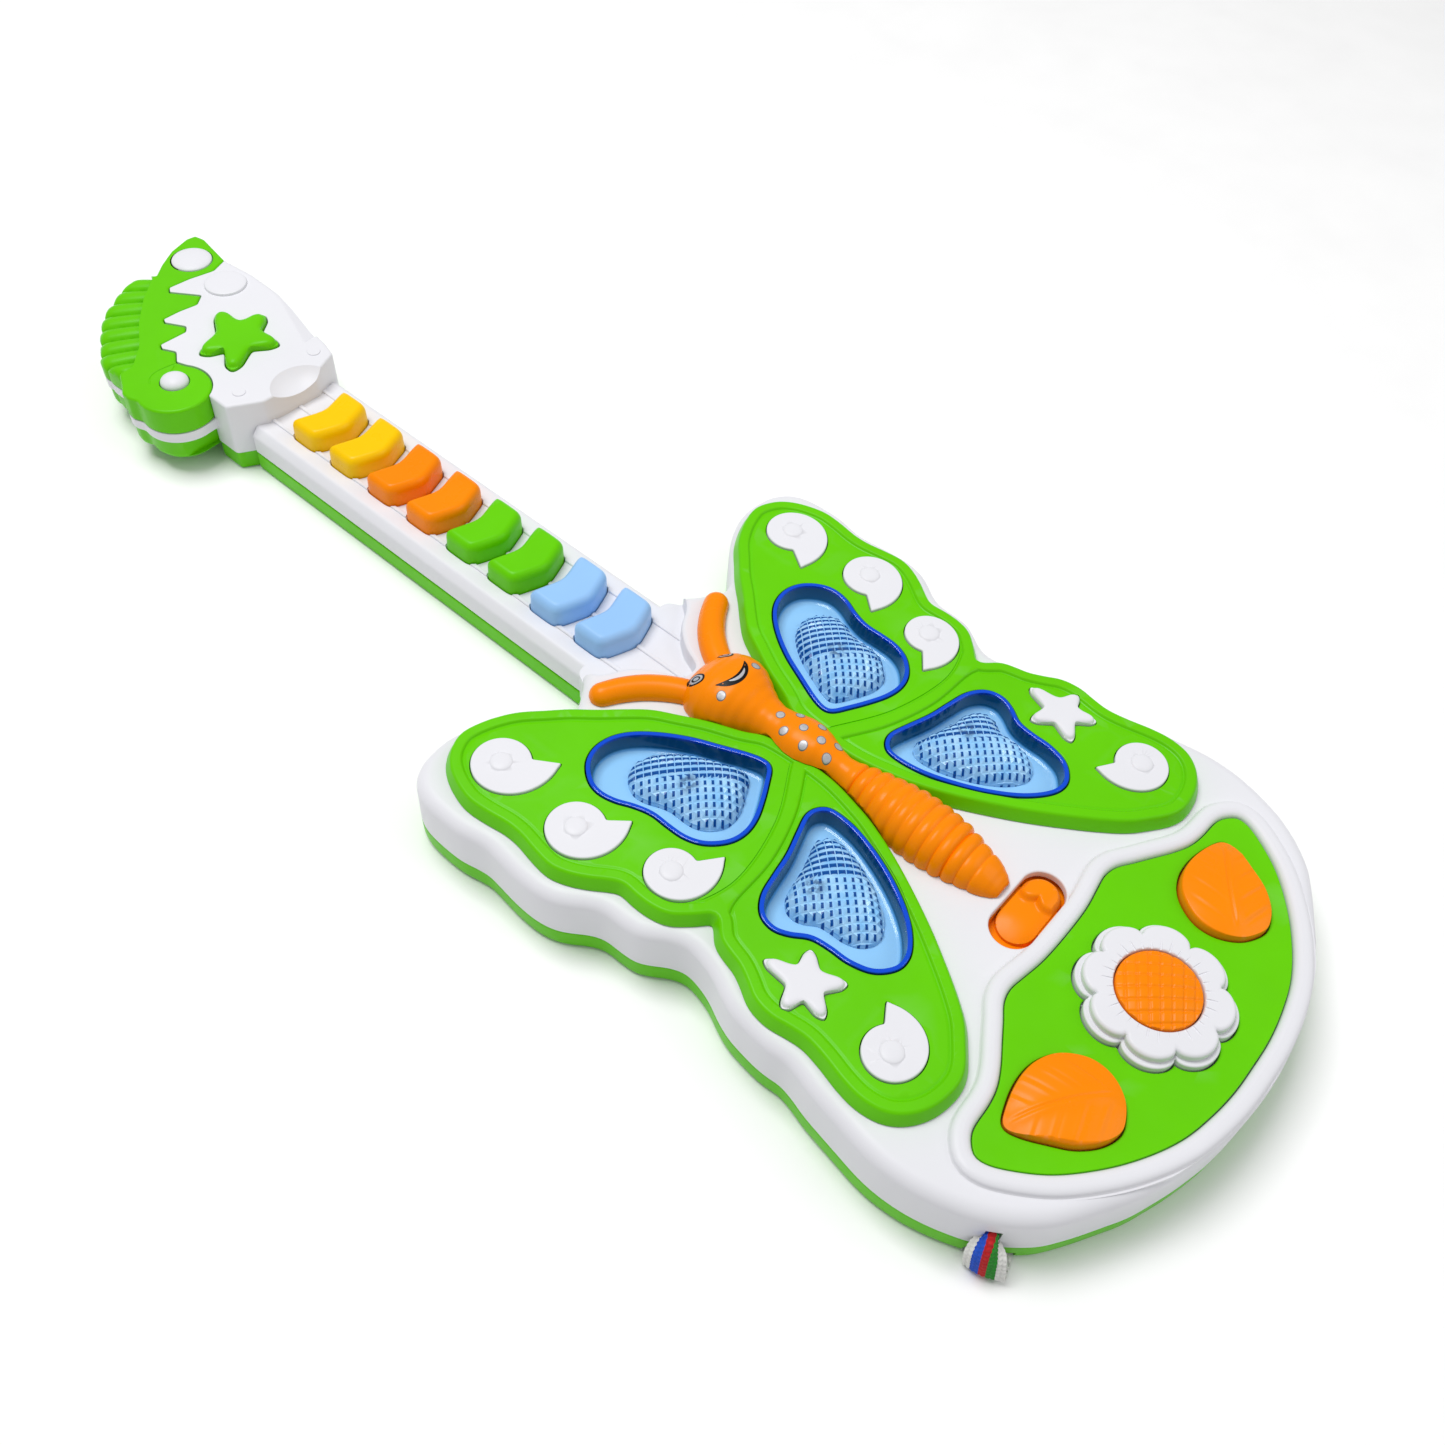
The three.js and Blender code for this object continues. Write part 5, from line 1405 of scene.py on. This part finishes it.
def power_knob():
    """The grip on its plate, which is sunk at both ends so that the slot looks deep."""
    y0 = POWER_SLOT[1]
    floor = KNOB_LOW + 0.5
    plate = block(-18.6, 18.6, y0 - 7.4, y0 + 7.4, KNOB_LOW, DECK - WALL - 0.4)
    ends = [block(x0, x1, y0 - 5.8, y0 + 5.8, floor, 30) for x0, x1 in ((-15.6, -3), (6, 17))]
    plate = cut(plate, gathered(ends))

    def height_at(x, y):
        lobes = 4.6 - 1.6 * np.abs(np.sin((y - y0) * math.pi / 5.4))
        bump = 1 / (1 + np.exp(-(x - lobes) / 0.3))
        fall = np.clip((-1 - x) / 9, 0, 1.2)
        crown = (np.abs(y - y0) / 5.6) ** 2.4
        return 20.6 - 2.4 * fall**2 - 0.7 * crown + 2.0 * bump * (1 - 0.35 * crown)

    top = height_block(-14, 14, y0 - 7, y0 + 7, 0.25, 17.5, height_at)
    edge = [(0, 17.5), (0, 18.4), (-0.1, 19.2), (-0.35, 20), (-0.8, 21), (-1.4, 21.9), (-2.4, 22.7)]
    whole = joined(plate, common(top, lofted(stadium(1.4, y0, 10.6, 5.6, 72), edge)))
    finished(whole, "orange_power_knob", "orange", "power_slide", ["power_knob"], angle=50)


# ---- Keys ---------------------------------------------------------------------------------------------


def key(index):
    y = KEY_YS[index]
    loop = softened(KEY, 1.9, 0.45) + [0, y]
    profile = rounded(KEY_LOW, KEY_TOP, 2.9, draft=0.4, steps=8)
    cap = lofted(loop, [(0.78 * inset, z) for inset, z in profile])
    flange = block(-12.6, 12.6, y - 5.6, y + 5.6, KEY_LOW, KEY_LOW + 2.4)
    name = f"key_{index + 1}"
    colour = KEY_COLOURS[index]
    finished(joined(cap, flange), f"{colour}_{name}", colour, name, [name], angle=35)


# ---- Headstock ----------------------------------------------------------------------------------------

# The mane's inner edge: places along the line x = y, with their distances from it.
MANE_INNER = [
    (92, 140), (101.4, 145.2), (111.6, 145), (124.9, 147.5), (138.7, 148.4), (150.6, 147.5), (160, 150),
]


def turned_outwards(piece):
    """The piece with all its faces looking out, as a height_block needs whose base is above its top."""
    mesh = bmesh.new()
    mesh.from_mesh(piece.data)
    bmesh.ops.recalc_face_normals(mesh, faces=mesh.faces)
    mesh.to_mesh(piece.data)
    mesh.free()
    return piece


def head_cap():
    band = lofted(CAP, rounded(HEAD_LEDGE + GAP, HEAD_TOP, 1.0, 0.25))

    def mane_height(x, y):
        along = (x + y) / math.sqrt(2)
        inner = np.interp(along, *zip(*MANE_INNER))
        span = np.clip((y - x) / math.sqrt(2) - inner, 0, 14)
        turns = np.arctan2(FAN_EDGE[:, 1], FAN_EDGE[:, 0])
        end = np.interp(np.arctan2(y - FAN[1], x - FAN[0]), turns, np.linalg.norm(FAN_EDGE, axis=1))
        short = np.clip((end - np.hypot(x - FAN[0], y - FAN[1])) / 3.6, 0, 1)
        fall = 1 - np.sqrt(1 - (1 - short) ** 2)
        return 24.6 - 0.05 * span - 0.006 * span**2 - 2.6 * (1 - flute_roll(x, y)) - 2.2 * fall

    over_mane = turned_outwards(height_block(-50, 10, 168, 226, 0.4, 60, mane_height))
    cap = cut(band, common(over_mane, lofted(anticlockwise(MANE), [(0, 10), (0, 50)])))
    for x, y, radius in (DOT_LARGE, DOT_SMALL):
        cap = cut(cap, lofted(circle(x, y, radius + GAP), hole(HEAD_TOP - 1.5, HEAD_TOP, 0.15)))
    spiral = open_curve([[-24.5, 163.6], [-21.9, 165], [-19.6, 166.6]], 10)
    curl = open_curve([[-32.4, 163.2], [-30.6, 165.6], [-27.6, 166.9], [-24.0, 166.8], [-20.6, 166.2]], 20)
    for line in (spiral, curl):
        cap = cut(cap, swept(at_height(line, HEAD_TOP + 0.15), np.linspace(0.3, 0.5, len(line)), 12))
    finished(cap, "green_head_cap", "green", nodes=["head_cap"], angle=38)
    for label, (x, y, radius), rise in (("large", DOT_LARGE, 1.5), ("small", DOT_SMALL, 2.4)):
        profile = [(radius, HEAD_TOP - 1.2), (radius, HEAD_TOP)]
        dot = turned(x, y, profile + quarter(0, HEAD_TOP, radius, rise, [15, 30, 45, 60, 75, 87]), 64)
        finished(dot, f"white_dot_{label}", "white", nodes=[f"head_dot_{label}"], angle=60)


STAR_FOOT = 19


def head_star():
    body = pillow(HEAD_STAR, STAR_FOOT, HEAD_TOP + 0.5, 2.1, 1.7, 0.25)
    flange = turned(1.5, 162.6, [(10.5, STAR_FOOT), (10.5, 22.2)])
    finished(joined(body, flange), "green_starfish", "green", "head_star_button",
             ["head_star_button"], angle=60)


# ---- More materials -----------------------------------------------------------------------------------


def lens_material():
    """Clear blue polystyrene, coloured by height: pale over the floor, deep blue at the rim, and dark teal in the
    walls, which is painted shade with the green of the wing wall behind painted in.
    """
    n = Nodes("blue_lens")
    z = n.add("ShaderNodeSeparateXYZ", {"Vector": n.place()}).outputs["Z"]
    height = n.mapped(z, LENS_FLOOR * MM, (FIELD + 0.4) * MM, 0, 1)
    # the dark stops from 0.18 to 0.8 are painted shade in the tray's walls, tinted as if the green wing showed
    # through
    body = n.ramp(height, (0.01, srgb(150, 208, 252)), (0.08, srgb(96, 170, 228)), (0.18, srgb(20, 92, 132)),
                  (0.8, srgb(12, 78, 120)), (0.93, srgb(0, 56, 176)), (1.0, srgb(10, 78, 214)))
    gloss = n.mapped(n.noise(90, 2), 0.3, 0.7, 0.06, 0.12)
    return assign(n, body, gloss, Specular_IOR_Level=0.3)


def dome_material(name, shade_dash_p, shade_dash_q):
    """The cut-glass dome: pale glass with a dark dash of painted shade in each cell of the lattice, where a facet
    side falls dark, and a grey spot that paints the dim light seen through it.
    """
    n = Nodes(name)
    place = n.place()

    def shade_dash(direction, low_end, high_end):
        pitches = Vector(direction) / (FACET_PITCH * MM * math.sqrt(2))
        along = n.add("ShaderNodeVectorMath", {0: place, 1: pitches}, operation="DOT_PRODUCT").outputs["Value"]
        within = n.add("ShaderNodeMath", {0: along}, operation="FRACT").outputs[0]
        off = n.add("ShaderNodeMath", {0: within, 1: (low_end + high_end) / 2}, operation="SUBTRACT").outputs[0]
        size = n.add("ShaderNodeMath", {0: off}, operation="ABSOLUTE").outputs[0]
        half = (high_end - low_end) / 2
        return n.mapped(size, half - 0.04, half + 0.04, 1, 0)

    # painted shade: the dark dashes stand for facet sides that fall dark, laid out differently for the near and far
    # sides of the dome
    facet_shade = n.add("ShaderNodeMath", {0: shade_dash((1, 1, 0), *shade_dash_p), 1: shade_dash((-1, 1, 0), *shade_dash_q)},
                 operation="MULTIPLY").outputs[0]
    pale = n.ramp(n.noise(240, 3), (0.3, srgb(134, 198, 248)), (0.7, srgb(176, 221, 254)))
    base = n.mixed(facet_shade, pale, srgb(10, 78, 156))
    split = n.add("ShaderNodeSeparateXYZ", {"Vector": n.place()}).outputs
    side_x = n.add("ShaderNodeMath", {0: split["X"]}, operation="ABSOLUTE").outputs[0]
    flat = n.add("ShaderNodeCombineXYZ", {"X": side_x, "Y": split["Y"]}).outputs[0]
    for _, light, _ in LENSES.values():
        spot = Vector((*light, 0)) * MM
        gap = n.add("ShaderNodeVectorMath", {0: flat, 1: spot}, operation="DISTANCE").outputs["Value"]
        seen = n.add("ShaderNodeMath", {0: n.mapped(gap, 0.0012, 0.0036, 0.75, 0),
                                        1: n.mapped(n.noise(700, 2), 0.4, 0.55, 0, 1)}, operation="MULTIPLY")
        base = n.mixed(seen.outputs[0], base, srgb(62, 88, 130))
    gloss = n.mapped(n.noise(90, 2), 0.3, 0.7, 0.1, 0.16)
    return assign(n, base, gloss, Specular_IOR_Level=0.22)


def simple(name, colour, roughness, metallic=0.0, scale=400, variation=0.08, **values):
    n = Nodes(name)
    darker, paler = scaled(colour, 1 - variation), scaled(colour, 1 + variation)
    base = n.ramp(n.noise(scale, 3), (0.3, darker), (0.7, paler))
    gloss = n.mapped(n.noise(scale * 2, 2), 0.3, 0.7, roughness * 0.85, min(1.0, roughness * 1.15))
    return assign(n, base, gloss, n.bump(n.noise(scale * 5, 2), 0.15, 0.00003), Metallic=metallic, **values)


MATERIALS.update({
    "lens": lens_material(),
    # the far and near domes carry the painted facet shade, each laid out for its side of the dome
    "dome_far_painted_shade": dome_material("dome_far_painted_shade", (0.3, 0.95), (0.06, 0.94)),
    "dome_near_painted_shade": dome_material("dome_near_painted_shade", (0.18, 0.84), (0.14, 0.5)),
    "led": simple("led_epoxy", srgb(225, 232, 240), 0.08, Transmission_Weight=0.6),
    "steel": simple("plated_steel", srgb(190, 192, 196), 0.28, 1.0),
    "silver": simple("silver_print", srgb(196, 196, 200), 0.35, 0.35, 900),
    "spot_edge": simple("spot_edge", srgb(120, 116, 112), 0.4, 0.2, 900),
    "ink": simple("black_print", srgb(10, 9, 10), 0.4, 0.0, 900, Specular_IOR_Level=0.2),
    "board": simple("circuit_board", srgb(40, 120, 60), 0.45),
    "rubber": simple("silicone", srgb(140, 143, 148), 0.65),
    "speaker": simple("speaker_paper", srgb(34, 34, 38), 0.8, 0.0, 900, 0.2),
    "cell": simple("cell_wrap", srgb(50, 54, 62), 0.35, 0.4),
    "strap_white": simple("strap_white", srgb(226, 226, 222), 0.75, 0.0, 1500, 0.06),
    "strap_blue": simple("strap_blue", srgb(0, 76, 196), 0.7, 0.0, 1500, 0.15),
    "strap_red": simple("strap_red", srgb(190, 4, 12), 0.7, 0.0, 1500, 0.15),
    "strap_green": simple("strap_green", srgb(20, 136, 26), 0.7, 0.0, 1500, 0.15),
    "floor": simple("pale_floor", srgb(252, 252, 252), 0.85, 0.0, 20, 0.01),
})

INNER = {
    "board": ["main_board", "key_board", "head_switch_board", "led_board_left", "led_board_right"],
    "rubber": ["button_membrane", "key_membrane"],
    "steel": ["switch_body", "battery_contact_front", "battery_contact_rear"],
    "speaker": ["speaker"],
    "cell": ["battery_1", "battery_2", "battery_3"],
    "white": ["strap_pin"],
}
for kind, nodes in INNER.items():
    for node in nodes:
        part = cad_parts[node]
        part.data.materials.clear()
        part.data.materials.append(MATERIALS[kind])

# ---- Building it all ----------------------------------------------------------------------------------

front_shell()
back_shell()
battery_door()
screws()
for side_name in SIDES:
    wing(side_name)
    wing_star(side_name)
    leaf_button(side_name)
    for number in range(len(SNAILS)):
        snail(side_name, number)
    for lens_level in LENSES:
        lens(side_name, lens_level)
        led(side_name, lens_level)
decals(butterfly())
strap()
leaf_panel()
flower()
power_knob()
for number in range(len(KEY_COLOURS)):
    key(number)
head_cap()
head_star()

# ---- Floor and light ----------------------------------------------------------------------------------


def studio():
    floor = made(at_height(rectangle(-9000, 9000, -9000, 9000), -0.05), [[0, 1, 2, 3]], "floor")
    floor.data.materials.append(MATERIALS["floor"])
    world = bpy.data.worlds.new("studio")
    bpy.context.scene.world = world
    world.use_nodes = True
    world.node_tree.nodes["Background"].inputs["Color"].default_value = (1, 1, 1, 1)
    world.node_tree.nodes["Background"].inputs["Strength"].default_value = 0.36

    def panel(name, place, size, power):
        light = bpy.data.lights.new(name, "AREA")
        light.shape = "SQUARE"
        light.size = size
        light.energy = power
        holder = bpy.data.objects.new(name, light)
        holder.location = place
        holder.rotation_mode = "QUATERNION"
        holder.rotation_quaternion = (Vector((0, 0, 0)) - Vector(place)).to_track_quat("-Z", "Y")
        bpy.context.scene.collection.objects.link(holder)

    panel("key_light", (-0.1, 0.4, 1.4), 0.7, 15.5)
    panel("fill_light", (0.5, -0.9, 0.9), 0.8, 3)
    bpy.context.scene.view_settings.view_transform = "Standard"


studio()
